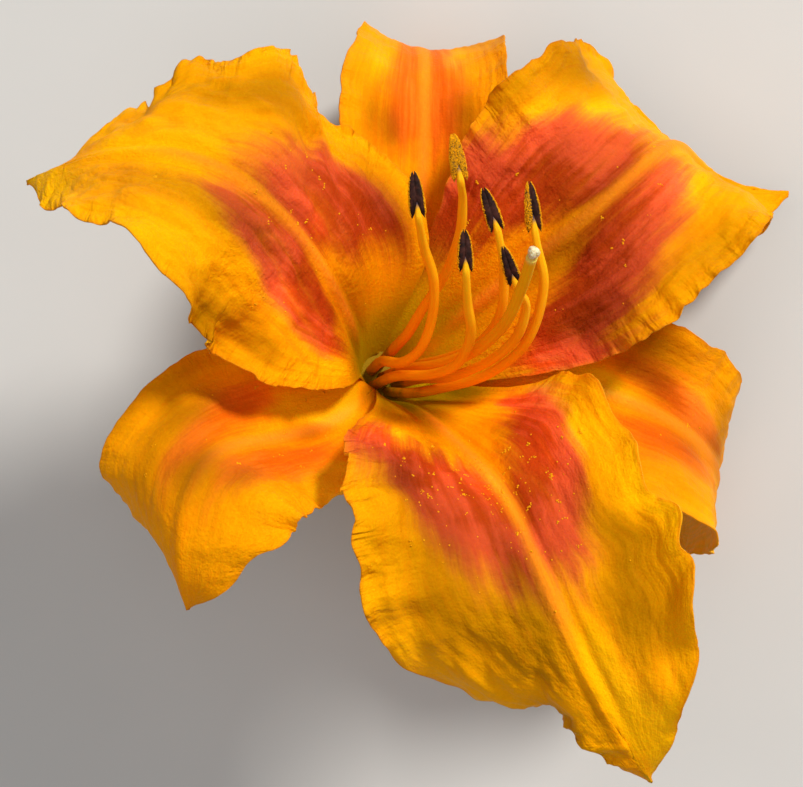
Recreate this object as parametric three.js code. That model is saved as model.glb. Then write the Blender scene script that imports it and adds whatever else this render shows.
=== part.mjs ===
// The open bloom of a daylily, picked and laid down: three broad ruffled petals inside three
// narrower sepals, six stamens and a style that curve out of the throat, and behind them the
// floral tube with the end of its stalk.
// Millimetres, +Z up, origin in the middle of the footprint on the surface that it lies on.
// The pieces are placed in the bloom's own frame, with the throat at its origin and +Z out
// along the bloom's axis, and the whole bloom is then turned onto its three low points.

import * as THREE from "three";

// How the bloom lies on the stalk's end and the tips of two sepals, degrees: it is turned about
// its own axis, leant over, and headed so that its left and right petals lie to -X and +X.
const restTurn = 8.1;
const restLean = 34.6;
const restHeading = 30;

// Blades, millimetres.
const midribThickness = 0.95;
const marginThickness = 0.7;
const tipHalfWidth = 0.6;
const petalRing = 3.9;
const sepalRing = 5.4;
const petalGrid = { rows: 32, columns: 5 };
const sepalGrid = { rows: 26, columns: 4 };
const fineStepsPerRow = 3;
const slopeStep = 0.02;

// Floral tube and stalk, millimetres: radius and depth below the throat.
const fitGap = 0.3;
const tubeProfile = [
  [6.1, 0.3],
  [5.3, 4],
  [4.2, 10],
  [3.6, 17],
  [3.9, 22],
  [3.5, 26],
  [2.6, 29],
];
const tubeSides = 18;
const stalkRadius = 2.1;
const stalkLength = 7;
const stalkSides = 12;

// Stamens and style, millimetres.
const filamentRadius = 0.7;
const styleRadius = 0.85;
const threadSides = 7;
const threadSteps = 18;
const antherLength = 6.8;
const antherWidth = 2.3;
const antherDepth = 1.6;
const antherSides = 8;
const antherOutline = [
  [0, 0],
  [0.7, 0.03],
  [0.95, 0.15],
  [1, 0.4],
  [0.9, 0.7],
  [0.6, 0.93],
  [0, 1],
];
const stigmaRadius = 0.95;
const stigmaSides = 10;
const stigmaRings = 6;

// Each tepal is a blade on a curved midrib. Its lists hold six even stations from the foot to
// the tip, angles in degrees and lengths in millimetres:
//   lean   from the bloom's axis to the midrib
//   swing  of the midrib sideways, counter-clockwise seen from the front
//   twist  of the blade about its midrib
//   fold   slope of the blade beside the midrib, both halves rising
//   wide   over the surface from the midrib to the margin
//   cup    how much more the margin rises than the blade beside the midrib
// A margin's ruffle has so many crests along the blade, one of them at first.
const tepals = [
  {
    name: "petal_left",
    azimuth: 131,
    length: 90,
    lean: [24, 34, 48, 76, 138, 160],
    swing: [0, -4, -14, -10, 2, 8],
    twist: [-4, -6, 2, 6, 22, 34],
    fold: [0, 15, 10, 10, 10, -5],
    left: {
      wide: [3, 11, 21, 23, 14, 0],
      cup: [45, 5, -30, -25, -10, -30],
      crests: 9,
      first: 0.6,
      scallop: 0.6,
      ruffle: 1.1,
    },
    right: {
      wide: [3, 16, 26, 24, 15, 0],
      cup: [45, 35, -45, -30, -25, -40],
      crests: 8,
      first: 0.6,
      scallop: 0.9,
      ruffle: 1.2,
    },
  },
  {
    name: "petal_right",
    azimuth: 3,
    length: 100,
    lean: [14, 24, 54, 116, 132, 56],
    swing: [0, -2, 0, -2, -42, -50],
    twist: [-2, -6, -12, -20, -30, -32],
    fold: [0, 5, 10, 5, -15, -5],
    left: {
      wide: [3, 12, 22, 21, 15, 0],
      cup: [45, 10, 0, 25, 5, -20],
      crests: 8,
      first: 0.56,
      scallop: 0.5,
      ruffle: 1,
    },
    right: {
      wide: [3, 13, 21, 20, 15, 0],
      cup: [45, 10, 0, 0, -15, -10],
      crests: 7,
      first: 0.53,
      scallop: 0.4,
      ruffle: 0.8,
    },
  },
  {
    name: "petal_front",
    azimuth: 236,
    length: 92,
    lean: [18, 36, 40, 72, 92, 122],
    swing: [0, -4, 0, 8, 24, 54],
    twist: [0, 6, 14, 20, 54, 68],
    fold: [0, 15, 25, 20, 5, 5],
    left: {
      wide: [3, 12, 20, 19, 19, 0],
      cup: [45, 25, 20, 5, 0, 10],
      crests: 9,
      first: 0.64,
      scallop: 0.4,
      ruffle: 1,
    },
    right: {
      wide: [3, 10, 22, 25, 17, 0],
      cup: [45, 5, -10, -15, -70, -35],
      crests: 7,
      first: 0.62,
      scallop: 0.8,
      ruffle: 1,
    },
  },
  {
    name: "sepal_back",
    azimuth: 51,
    length: 83,
    lean: [20, 50, 80, 124, 160, 154],
    swing: [0, 4, 0, -18, -38, -54],
    twist: [0, -4, -10, -20, -26, -24],
    fold: [0, 5, 10, 10, 5, 5],
    left: {
      wide: [3, 10, 15, 12, 7, 0],
      cup: [45, 35, 20, 20, 0, -25],
      crests: 6,
      first: 0.5,
      scallop: 0.2,
      ruffle: 0.4,
    },
    right: {
      wide: [3, 9, 13, 13, 10, 0],
      cup: [45, 40, 30, 30, 10, -20],
      crests: 6,
      first: 0.56,
      scallop: 0.2,
      ruffle: 0.4,
    },
  },
  {
    name: "sepal_left",
    azimuth: 185,
    length: 72,
    lean: [24, 60, 66, 62, 112, 140],
    swing: [2, -6, -22, -14, 42, 92],
    twist: [0, 2, 6, 20, 48, 92],
    fold: [0, 5, 10, 5, -5, -5],
    left: {
      wide: [3, 9, 13, 15, 15, 0],
      cup: [45, 40, 25, 0, -30, -15],
      crests: 7,
      first: 0.8,
      scallop: 0.6,
      ruffle: 0.8,
    },
    right: {
      wide: [3, 10, 16, 15, 16, 0],
      cup: [45, 35, 10, -20, -45, -60],
      crests: 7,
      first: 0.54,
      scallop: 0.4,
      ruffle: 0.6,
    },
  },
  {
    name: "sepal_right",
    azimuth: 304,
    length: 91,
    lean: [18, 38, 76, 128, 168, 160],
    swing: [0, 0, -4, 2, 0, -2],
    twist: [0, 2, 2, -2, -4, -2],
    fold: [0, 5, 5, 5, 0, 0],
    left: {
      wide: [3, 9, 13, 13, 10, 0],
      cup: [45, 40, 25, 20, -10, -25],
      crests: 7,
      first: 0.72,
      scallop: 0.3,
      ruffle: 0.6,
    },
    right: {
      wide: [3, 10, 15, 13, 10, 0],
      cup: [45, 30, 15, 15, -10, -30],
      crests: 7,
      first: 0.86,
      scallop: 0.3,
      ruffle: 0.6,
    },
  },
];

// Paths of the filaments out of the throat, and the way that each anther points beyond its end.
const stamens = [
  {
    path: [
      [-1, 2, 0],
      [-3.5, 2, 9],
      [-5.5, 0, 17],
      [-5, 0, 23],
      [-4, 2.5, 29],
      [-4, 6.5, 35.5],
      [-5, 11, 40.5],
      [-6, 14.5, 45.5],
    ],
    antherWay: [2.8, 5.5, 1.7],
  },
  {
    path: [
      [1, 2, 0],
      [0, 2.5, 8],
      [-0.5, 3, 15],
      [0, 4.5, 22],
      [1.5, 6.5, 30.5],
      [2.5, 9.5, 38],
      [2.5, 12.5, 43.5],
      [1.5, 14.5, 47.5],
    ],
    antherWay: [2.8, 6.1, 1.6],
  },
  {
    path: [
      [-2.5, 0, 0],
      [-5, -1, 12],
      [-6, -4, 22.5],
      [-6.5, -5, 31],
      [-6.5, -3, 38.5],
      [-7, 1, 44],
      [-7, 4.5, 48.5],
    ],
    antherWay: [3, 5.6, 2],
  },
  {
    path: [
      [2.5, 0, 0],
      [1.5, -1.5, 8],
      [0.5, -3.5, 18],
      [0.5, -4.5, 28],
      [1, -3, 36.5],
      [1.5, 1.5, 43],
      [2, 7, 47.5],
    ],
    antherWay: [2, 6.5, 1.1],
  },
  {
    path: [
      [1, -2, 0],
      [0, -3.5, 9],
      [-1.5, -6, 19],
      [-1, -7.5, 29.5],
      [0, -7, 38],
      [0.5, -4, 44],
      [-1, -1, 47.5],
    ],
    antherWay: [1.8, 4.5, 3.5],
  },
  {
    path: [
      [-1, -2, 0],
      [-1.5, -4.5, 7],
      [-0.5, -6.5, 13],
      [1.5, -9, 23],
      [4, -8.5, 33],
      [6.5, -3.5, 41.5],
      [8, 4, 46.5],
    ],
    antherWay: [2.9, 6.5, 1.7],
  },
];
const stylePath = [
  [0, 0, 0],
  [-2, -1, 10],
  [-3.5, -3.5, 21.5],
  [-3.5, -5, 32],
  [-3, -4.5, 42],
  [-3, -2, 51],
  [-3.5, 0.5, 58.5],
];

// The way from the throat to the eye that looks into the bloom, which the anthers turn to face.
const facing = new THREE.Vector3(-0.5, 0, 0.87);

// Value of a station list at a place along the blade, 0 at the foot and 1 at the tip.
function along(stations, place) {
  const last = stations.length - 1;
  const x = THREE.MathUtils.clamp(place, 0, 1) * last;
  const i = Math.min(Math.floor(x), last - 1);
  const t = x - i;
  const here = stations[i];
  const next = stations[i + 1];
  const before = i > 0 ? stations[i - 1] : 2 * here - next;
  const after = i + 2 > last ? 2 * next - here : stations[i + 2];
  const slope = (next - before) / 2;
  const bend = before - 2.5 * here + 2 * next - after / 2;
  const turn = (after - before) / 2 + 1.5 * (here - next);
  return here + t * (slope + t * (bend + t * turn));
}

function radiansAlong(stations, place) {
  return THREE.MathUtils.degToRad(along(stations, place));
}

// Frames along a tepal's midrib: its place, the way across to the left and the inner normal.
function midribFrames(tepal, ring, steps) {
  const azimuth = THREE.MathUtils.degToRad(tepal.azimuth);
  const point = new THREE.Vector3(ring * Math.cos(azimuth), ring * Math.sin(azimuth), 0);
  const frames = [];
  for (let i = 0; i <= steps; i++) {
    const place = i / steps;
    const lean = radiansAlong(tepal.lean, place);
    const heading = azimuth + radiansAlong(tepal.swing, place);
    const twist = radiansAlong(tepal.twist, place);
    const outward = new THREE.Vector3(Math.cos(heading), Math.sin(heading), 0);
    const sideways = new THREE.Vector3(-Math.sin(heading), Math.cos(heading), 0);
    const forward = outward.clone().multiplyScalar(Math.sin(lean));
    forward.z = Math.cos(lean);
    const inward = outward.clone().multiplyScalar(-Math.cos(lean));
    inward.z = Math.sin(lean);
    if (i > 0) {
      const step = forward.clone().add(frames[i - 1].forward);
      point.addScaledVector(step, tepal.length / steps / 2);
    }
    const across = sideways.clone().applyAxisAngle(forward, twist);
    const normal = inward.clone().applyAxisAngle(forward, twist);
    frames.push({ place, point: point.clone(), forward, across, normal });
  }
  return frames;
}

// Point of the blade's middle surface: v is 0 on the midrib, 1 on the left margin and -1 on
// the right. The section leaves the midrib at the fold's slope and bends evenly to the margin.
function bladePoint(tepal, frame, v) {
  const side = v < 0 ? tepal.right : tepal.left;
  const reach = Math.abs(v);
  const start = radiansAlong(tepal.fold, frame.place);
  const cup = radiansAlong(side.cup, frame.place) || 1e-4;
  const spread = THREE.MathUtils.smoothstep(frame.place, 0.25, 0.5);
  const narrowing = 1 - THREE.MathUtils.smoothstep(frame.place, 0.88, 1);
  const wave = 2 * Math.PI * side.crests * (frame.place - side.first);
  const width =
    along(side.wide, frame.place) + side.scallop * spread * narrowing * Math.cos(wave);
  const scale = Math.max(width, tipHalfWidth) / cup;
  const out = scale * (Math.sin(start + cup * reach) - Math.sin(start));
  const up = scale * (Math.cos(start) - Math.cos(start + cup * reach));
  const ruffle = side.ruffle * spread * narrowing * reach ** 3 * Math.sin(wave);
  return frame.point
    .clone()
    .addScaledVector(frame.across, v < 0 ? -out : out)
    .addScaledVector(frame.normal, up + ruffle);
}

// A closed blade: an inner and an outer face split into triangles alike, and a rim between.
function bladeGeometry(tepal, ring, grid) {
  const steps = grid.rows * fineStepsPerRow;
  const frames = midribFrames(tepal, ring, steps);
  const across = 2 * grid.columns + 1;
  const inner = [];
  const outer = [];
  for (let row = 0; row <= grid.rows; row++) {
    const i = row * fineStepsPerRow;
    const before = frames[Math.max(i - 1, 0)];
    const after = frames[Math.min(i + 1, steps)];
    for (let column = -grid.columns; column <= grid.columns; column++) {
      const v = column / grid.columns;
      const middle = bladePoint(tepal, frames[i], v);
      const lengthwise = bladePoint(tepal, after, v).sub(bladePoint(tepal, before, v));
      const crosswise = bladePoint(tepal, frames[i], Math.min(v + slopeStep, 1));
      crosswise.sub(bladePoint(tepal, frames[i], Math.max(v - slopeStep, -1)));
      const normal = lengthwise.cross(crosswise).normalize();
      const thinning = 1 - (1 - Math.abs(v)) ** 2;
      const thickness = THREE.MathUtils.lerp(midribThickness, marginThickness, thinning);
      inner.push(middle.clone().addScaledVector(normal, thickness / 2));
      outer.push(middle.clone().addScaledVector(normal, -thickness / 2));
    }
  }
  const count = inner.length;
  const index = [];
  const quad = (a, b, c, d) => index.push(a, b, c, a, c, d);
  for (let row = 0; row < grid.rows; row++) {
    for (let column = 0; column < across - 1; column++) {
      const a = row * across + column;
      const b = a + across;
      quad(a, b, b + 1, a + 1);
      quad(a + count, a + 1 + count, b + 1 + count, b + count);
    }
    const right = row * across;
    const left = right + across - 1;
    quad(right, right + count, right + across + count, right + across);
    quad(left, left + across, left + across + count, left + count);
  }
  const tip = grid.rows * across;
  for (let column = 0; column < across - 1; column++) {
    quad(column, column + 1, column + 1 + count, column + count);
    quad(tip + column, tip + column + count, tip + column + 1 + count, tip + column + 1);
  }
  const geometry = new THREE.BufferGeometry().setFromPoints([...inner, ...outer]);
  geometry.setIndex(index);
  geometry.computeVertexNormals();
  return geometry;
}

function smoothCurve(points) {
  const vectors = points.map((point) => new THREE.Vector3(...point));
  return new THREE.CatmullRomCurve3(vectors, false, "catmullrom", 0.5);
}

// A filament or the style: a round section carried along its path.
function threadGeometry(curve, radius) {
  const section = new THREE.Shape().absarc(0, 0, radius, 0, 2 * Math.PI);
  return new THREE.ExtrudeGeometry(section, {
    curveSegments: threadSides,
    steps: threadSteps,
    extrudePath: curve,
    bevelEnabled: false,
  });
}

// An anther stands on its foot along +Y and faces +Z: a turned spindle, squashed.
function antherGeometry() {
  const profile = antherOutline.map(
    ([share, height]) => new THREE.Vector2((share * antherWidth) / 2, height * antherLength),
  );
  const geometry = new THREE.LatheGeometry(profile, antherSides);
  geometry.scale(1, 1, antherDepth / antherWidth);
  return geometry;
}

function material(color, roughness) {
  return new THREE.MeshStandardMaterial({ color, roughness, metalness: 0 });
}

function addMesh(group, name, geometry, look) {
  const mesh = new THREE.Mesh(geometry, look);
  mesh.name = name;
  group.add(mesh);
  return mesh;
}

function addTepals(bloom) {
  const petalLook = material("#f0a312", 0.5);
  const sepalLook = material("#e68a1a", 0.5);
  for (const tepal of tepals) {
    const isPetal = tepal.name.startsWith("petal");
    const ring = isPetal ? petalRing : sepalRing;
    const grid = isPetal ? petalGrid : sepalGrid;
    const geometry = bladeGeometry(tepal, ring, grid);
    addMesh(bloom, tepal.name, geometry, isPetal ? petalLook : sepalLook);
  }
}

function addStamens(bloom) {
  const filamentLook = material("#f08c14", 0.45);
  const antherLook = material("#2b1518", 0.75);
  stamens.forEach(({ path, antherWay }, i) => {
    const curve = smoothCurve(path);
    addMesh(bloom, `filament_${i + 1}`, threadGeometry(curve, filamentRadius), filamentLook);
    const upward = new THREE.Vector3(...antherWay).normalize();
    const sideways = upward.clone().cross(facing).normalize();
    const outward = sideways.clone().cross(upward);
    const anther = addMesh(bloom, `anther_${i + 1}`, antherGeometry(), antherLook);
    anther.quaternion.setFromRotationMatrix(
      new THREE.Matrix4().makeBasis(sideways, upward, outward),
    );
    anther.position.copy(curve.getPoint(1)).addScaledVector(curve.getTangent(1), 2 * fitGap);
  });
}

function addStyle(bloom) {
  const curve = smoothCurve(stylePath);
  addMesh(bloom, "style", threadGeometry(curve, styleRadius), material("#c9a11c", 0.45));
  const stigma = new THREE.SphereGeometry(stigmaRadius, stigmaSides, stigmaRings);
  const knob = addMesh(bloom, "stigma", stigma, material("#efe7c8", 0.6));
  const reach = stigmaRadius + fitGap;
  knob.position.copy(curve.getPoint(1)).addScaledVector(curve.getTangent(1), reach);
}

function addTubeAndStalk(bloom) {
  const outline = tubeProfile.map(([radius, depth]) => new THREE.Vector2(radius, -depth));
  const top = new THREE.Vector2(0, outline[0].y);
  const bottom = new THREE.Vector2(0, outline[outline.length - 1].y);
  const tube = new THREE.LatheGeometry([bottom, ...outline.reverse(), top], tubeSides);
  tube.rotateX(Math.PI / 2);
  addMesh(bloom, "floral_tube", tube, material("#b7ab35", 0.5));
  const stalk = new THREE.CylinderGeometry(stalkRadius, stalkRadius, stalkLength, stalkSides);
  stalk.rotateX(Math.PI / 2);
  const cut = addMesh(bloom, "stalk", stalk, material("#7d9a3e", 0.55));
  cut.position.z = bottom.y - fitGap - stalkLength / 2;
}

// The bloom is turned onto its low points, then moved to stand on the origin.
function laidDown(bloom) {
  const leaning = new THREE.Group();
  const headed = new THREE.Group();
  const part = new THREE.Group();
  bloom.rotation.z = THREE.MathUtils.degToRad(restTurn);
  leaning.rotation.y = THREE.MathUtils.degToRad(restLean);
  headed.rotation.z = THREE.MathUtils.degToRad(restHeading);
  leaning.add(bloom);
  headed.add(leaning);
  part.add(headed);
  part.updateMatrixWorld(true);
  const box = new THREE.Box3().setFromObject(headed, true);
  const middle = box.getCenter(new THREE.Vector3());
  headed.position.set(-middle.x, -middle.y, -box.min.z);
  return part;
}

const bloom = new THREE.Group();
addTepals(bloom);
addStamens(bloom);
addStyle(bloom);
addTubeAndStalk(bloom);

export default laidDown(bloom);
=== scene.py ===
# A picked daylily bloom that lies on a pale table: its looks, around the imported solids.
# Lengths in the dictionaries are millimetres in the bloom's own frame, with the throat at the
# origin and +Z out along the bloom's axis. The bloom is then turned and moved onto the table.
import math
import bpy
import numpy as np
from mathutils import Matrix, Vector


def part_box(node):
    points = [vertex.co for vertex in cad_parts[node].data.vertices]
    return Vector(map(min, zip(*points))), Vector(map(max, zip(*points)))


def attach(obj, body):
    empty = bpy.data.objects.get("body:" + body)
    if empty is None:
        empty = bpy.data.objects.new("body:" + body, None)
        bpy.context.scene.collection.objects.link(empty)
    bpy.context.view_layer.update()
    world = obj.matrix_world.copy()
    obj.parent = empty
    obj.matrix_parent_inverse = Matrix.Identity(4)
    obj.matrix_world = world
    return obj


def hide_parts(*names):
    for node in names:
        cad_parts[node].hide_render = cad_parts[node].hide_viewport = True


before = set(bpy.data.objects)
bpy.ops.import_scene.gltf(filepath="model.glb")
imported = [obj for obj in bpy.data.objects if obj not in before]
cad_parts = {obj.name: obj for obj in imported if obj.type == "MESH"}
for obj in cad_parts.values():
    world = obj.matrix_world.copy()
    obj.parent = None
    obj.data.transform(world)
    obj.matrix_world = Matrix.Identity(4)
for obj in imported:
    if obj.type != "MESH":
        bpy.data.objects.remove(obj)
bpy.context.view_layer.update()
metresPerMm = 0.001
photoWidth = 803  # pixels

# How the bloom lies: turned about its own axis, leant over and headed, in degrees.
rest = {"turn": 8.1, "lean": 34.6, "heading": 30}

# Where the eye stood, in the bloom's frame: the ways right, up and back to the eye, the
# distance in millimetres, the eye's shift sideways and the photograph's pixels to the radian.
eye = {
    "right": (0.692, -0.602, 0.399),
    "up": (0.521, 0.799, 0.301),
    "back": (-0.5, 0.0, 0.866),
    "distance": 450,
    "shift": (3.0, -2.385),
    "focalPixels": 2925,
}

# The floral tube's points are radius and depth below the throat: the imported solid's profile,
# turned with so many sides, and what takes the place of its first point here, which is a slimmer
# brim and collar under the tepals' feet and the floor that closes the throat.
tubeShape = {
    "profile": [(6.1, 0.3), (5.3, 4), (4.2, 10), (3.6, 17), (3.9, 22), (3.5, 26), (2.6, 29)],
    "solidSides": 18,
    "brim": (5.95, 0.6),
    "collar": (5.85, -0.05),
    "throatFloor": [(5.4, -0.4), (4.2, -0.8), (2.8, -0.45), (1.4, -0.1), (0.02, 0)],
    "ribs": 6, "ribHeight": 0.14, "sides": 96, "steps": 160,
    "green": (0.24, 0.29, 0.03, 1),
    "yellow": (0.56, 0.38, 0.02, 1),
    "stripe": (0.26, 0.28, 0.03, 1),
    "floor": (0.28, 0.16, 0.002, 1),
}


# A turn about one axis, as a matrix.
def axisTurn(degrees, axis):
    return np.array(Matrix.Rotation(math.radians(degrees), 3, axis))


restMatrix = axisTurn(rest["heading"], "Z") @ axisTurn(rest["lean"], "Y") @ axisTurn(rest["turn"], "Z")


# Even angles round a ring, from 0.
def ringAngles(sides):
    return np.arange(sides) * 2 * np.pi / sides


# The shift that lays the bloom on the table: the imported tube's lowest corner less the lowest
# corner of the same tube's outline after the turn.
def restShift():
    radius, depth = np.array(tubeShape["profile"]).T[:, :, None]
    angle = ringAngles(tubeShape["solidSides"])
    ring = [radius * np.sin(angle), -radius * np.cos(angle), -depth + 0 * angle]
    outline = np.stack(ring, axis=-1)
    turned = outline.reshape(-1, 3) @ restMatrix.T * metresPerMm
    return np.array(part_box("floral_tube")[0]) - turned.min(axis=0)


tableShift = restShift()


# Points of the bloom's frame, turned and moved onto the table, in metres.
def onTable(points):
    return points @ restMatrix.T * metresPerMm + tableShift


# Values of a list of even stations at places from 0 to 1, on a Catmull-Rom curve through them
# whose two ends run straight on. A station may be a number or a point.
def along(stations, places):
    stations = np.asarray(stations, float)
    last = len(stations) - 1
    x = np.asarray(places, float) * last
    i = np.clip(np.floor(x).astype(int), 0, last - 1)
    t = x - i
    ends = 2 * stations[[0, -1]] - stations[[1, -2]]
    padded = np.concatenate([ends[:1], stations, ends[1:]])
    before, here, after, beyond = (padded[i + k] for k in range(4))
    t = t.reshape(t.shape + (1,) * (here.ndim - t.ndim))
    slope = (after - before) / 2
    bend = before - 2.5 * here + 2 * after - beyond / 2
    turn = (beyond - before) / 2 + 1.5 * (here - after)
    return here + t * (slope + t * (bend + t * turn))


# 3t^2 - 2t^3, where t runs from 0 at low to 1 at high.
def smoothStep(x, low, high):
    t = np.clip((x - low) / (high - low), 0, 1)
    return t * t * (3 - 2 * t)


# e^-(x/width)^2.
def bell(x, width):
    return np.exp(-((x / width) ** 2))


# Smooth noise from -1 to 1: random heights on a lattice that is turned askew to x and y, blended
# by 3t^2 - 2t^3.
def softNoise(x, y, seed):
    turn = 0.3 + 0.37 * (seed % 5)
    x, y = np.broadcast_arrays(np.asarray(x, float), np.asarray(y, float))
    x, y = x * math.cos(turn) - y * math.sin(turn), x * math.sin(turn) + y * math.cos(turn)
    size = 256
    heights = np.random.default_rng(seed).uniform(-1, 1, (size, size))
    column = np.floor(x).astype(int)
    row = np.floor(y).astype(int)
    acrossShare = smoothStep(x - column, 0, 1)
    alongShare = smoothStep(y - row, 0, 1)
    pick = lambda i, j: heights[(column + i) % size, (row + j) % size]
    near = pick(0, 0) * (1 - acrossShare) + pick(1, 0) * acrossShare
    far = pick(0, 1) * (1 - acrossShare) + pick(1, 1) * acrossShare
    return near * (1 - alongShare) + far * alongShare


# Vectors divided by their lengths.
def unit(vectors):
    return vectors / np.maximum(np.linalg.norm(vectors, axis=-1, keepdims=True), 1e-12)


# The normals of a grid of points, from its steps along its rows and its columns.
def gridNormals(points):
    return unit(np.cross(np.gradient(points, axis=0), np.gradient(points, axis=1)))


# Triangles of a grid of rows by columns, counter-clockwise seen from its front.
def gridTriangles(rows, columns, wrapped=False):
    row = np.arange(rows - 1)[:, None]
    column = np.arange(columns if wrapped else columns - 1)[None, :]
    beside = (column + 1) % columns
    a, b = row * columns + column, row * columns + beside
    c, d = a + columns, b + columns
    return np.concatenate(
        [np.stack([a, c, d], axis=-1).reshape(-1, 3), np.stack([a, d, b], axis=-1).reshape(-1, 3)]
    )


# A piece is a mesh laid on the table that rides on the root body. Its marks are values at its
# points, its map a place on the surface for each point. It may replace imported nodes.
def addPiece(name, points, triangles, material, replaced=(), marks=None, mapUv=None):
    mesh = bpy.data.meshes.new(name)
    mesh.vertices.add(len(points))
    mesh.vertices.foreach_set("co", onTable(points).astype(np.float32).ravel())
    mesh.loops.add(triangles.size)
    mesh.loops.foreach_set("vertex_index", triangles.astype(np.int32).ravel())
    mesh.polygons.add(len(triangles))
    mesh.polygons.foreach_set("loop_start", np.arange(len(triangles), dtype=np.int32) * 3)
    mesh.polygons.foreach_set("use_smooth", np.ones(len(triangles), dtype=bool))
    mesh.update(calc_edges=True)
    for key, values in (marks or {}).items():
        mark = mesh.attributes.new(key, "FLOAT", "POINT")
        mark.data.foreach_set("value", np.ascontiguousarray(values, np.float32).ravel())
    if mapUv is not None:
        layer = mesh.uv_layers.new(name="surfaceMap")
        layer.data.foreach_set("uv", mapUv[triangles.ravel()].astype(np.float32).ravel())
    piece = bpy.data.objects.new(name, mesh)
    bpy.context.scene.collection.objects.link(piece)
    mesh.materials.append(material)
    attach(piece, "root")
    if replaced:
        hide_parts(*replaced)


# Materials. A bench makes the nodes of one, plugs in what they are given, a socket or a value,
# and hands back the socket that the next node needs. Spread fits a value smoothly to a new range.
class NodeBench:
    def __init__(self, name):
        self.material = bpy.data.materials.new(name)
        self.material.use_nodes = True
        self.nodes = self.material.node_tree.nodes
        self.links = self.material.node_tree.links
        self.shader = self.nodes["Principled BSDF"]

    def plug(self, socket, value):
        if isinstance(value, bpy.types.NodeSocket):
            self.links.new(value, socket)
        elif value is not None:
            socket.default_value = value

    def node(self, kind, inputs=None, output=0, **settings):
        made = self.nodes.new("ShaderNode" + kind)
        for key, value in settings.items():
            setattr(made, key, value)
        for key, value in (inputs or {}).items():
            self.plug(made.inputs[key], value)
        return made.outputs[output]

    def place(self):
        return self.node("TexCoord", output="Object")

    def surface(self):
        return self.node("UVMap", uv_map="surfaceMap")

    def mark(self, name):
        return self.node("Attribute", output="Fac", attribute_name=name)

    def maths(self, operation, first, second=None, third=None, clamp=False):
        inputs = {0: first, 1: second, 2: third}
        return self.node("Math", inputs, operation=operation, use_clamp=clamp)

    def mix(self, share, first, second, blend="MIX"):
        inputs = {0: share, 6: first, 7: second}  # 6 and 7 are the two colours' sockets
        return self.node("Mix", inputs, output=2, data_type="RGBA", blend_type=blend)

    def scaled(self, coordinates, scale, turn=(0, 0, 0)):
        return self.node("Mapping", {"Vector": coordinates, "Scale": scale, "Rotation": turn})

    def noise(self, coordinates, scale, detail=2.0, roughness=0.5, distortion=0.0):
        inputs = {"Vector": coordinates, "Scale": scale, "Detail": detail}
        inputs.update({"Roughness": roughness, "Distortion": distortion})
        return self.node("TexNoise", inputs, output="Fac")

    def spread(self, value, low, high, toLow=0.0, toHigh=1.0):
        inputs = {"Value": value, "From Min": low, "From Max": high, "To Min": toLow, "To Max": toHigh}
        return self.node("MapRange", inputs, interpolation_type="SMOOTHSTEP")

    def bump(self, height, strength, distance, under=None):
        inputs = {"Height": height, "Strength": strength, "Distance": distance, "Normal": under}
        return self.node("Bump", inputs)

    def finish(self, **sockets):
        for key, value in sockets.items():
            self.plug(self.shader.inputs[key.replace("_", " ")], value)
        return self.material
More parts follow.
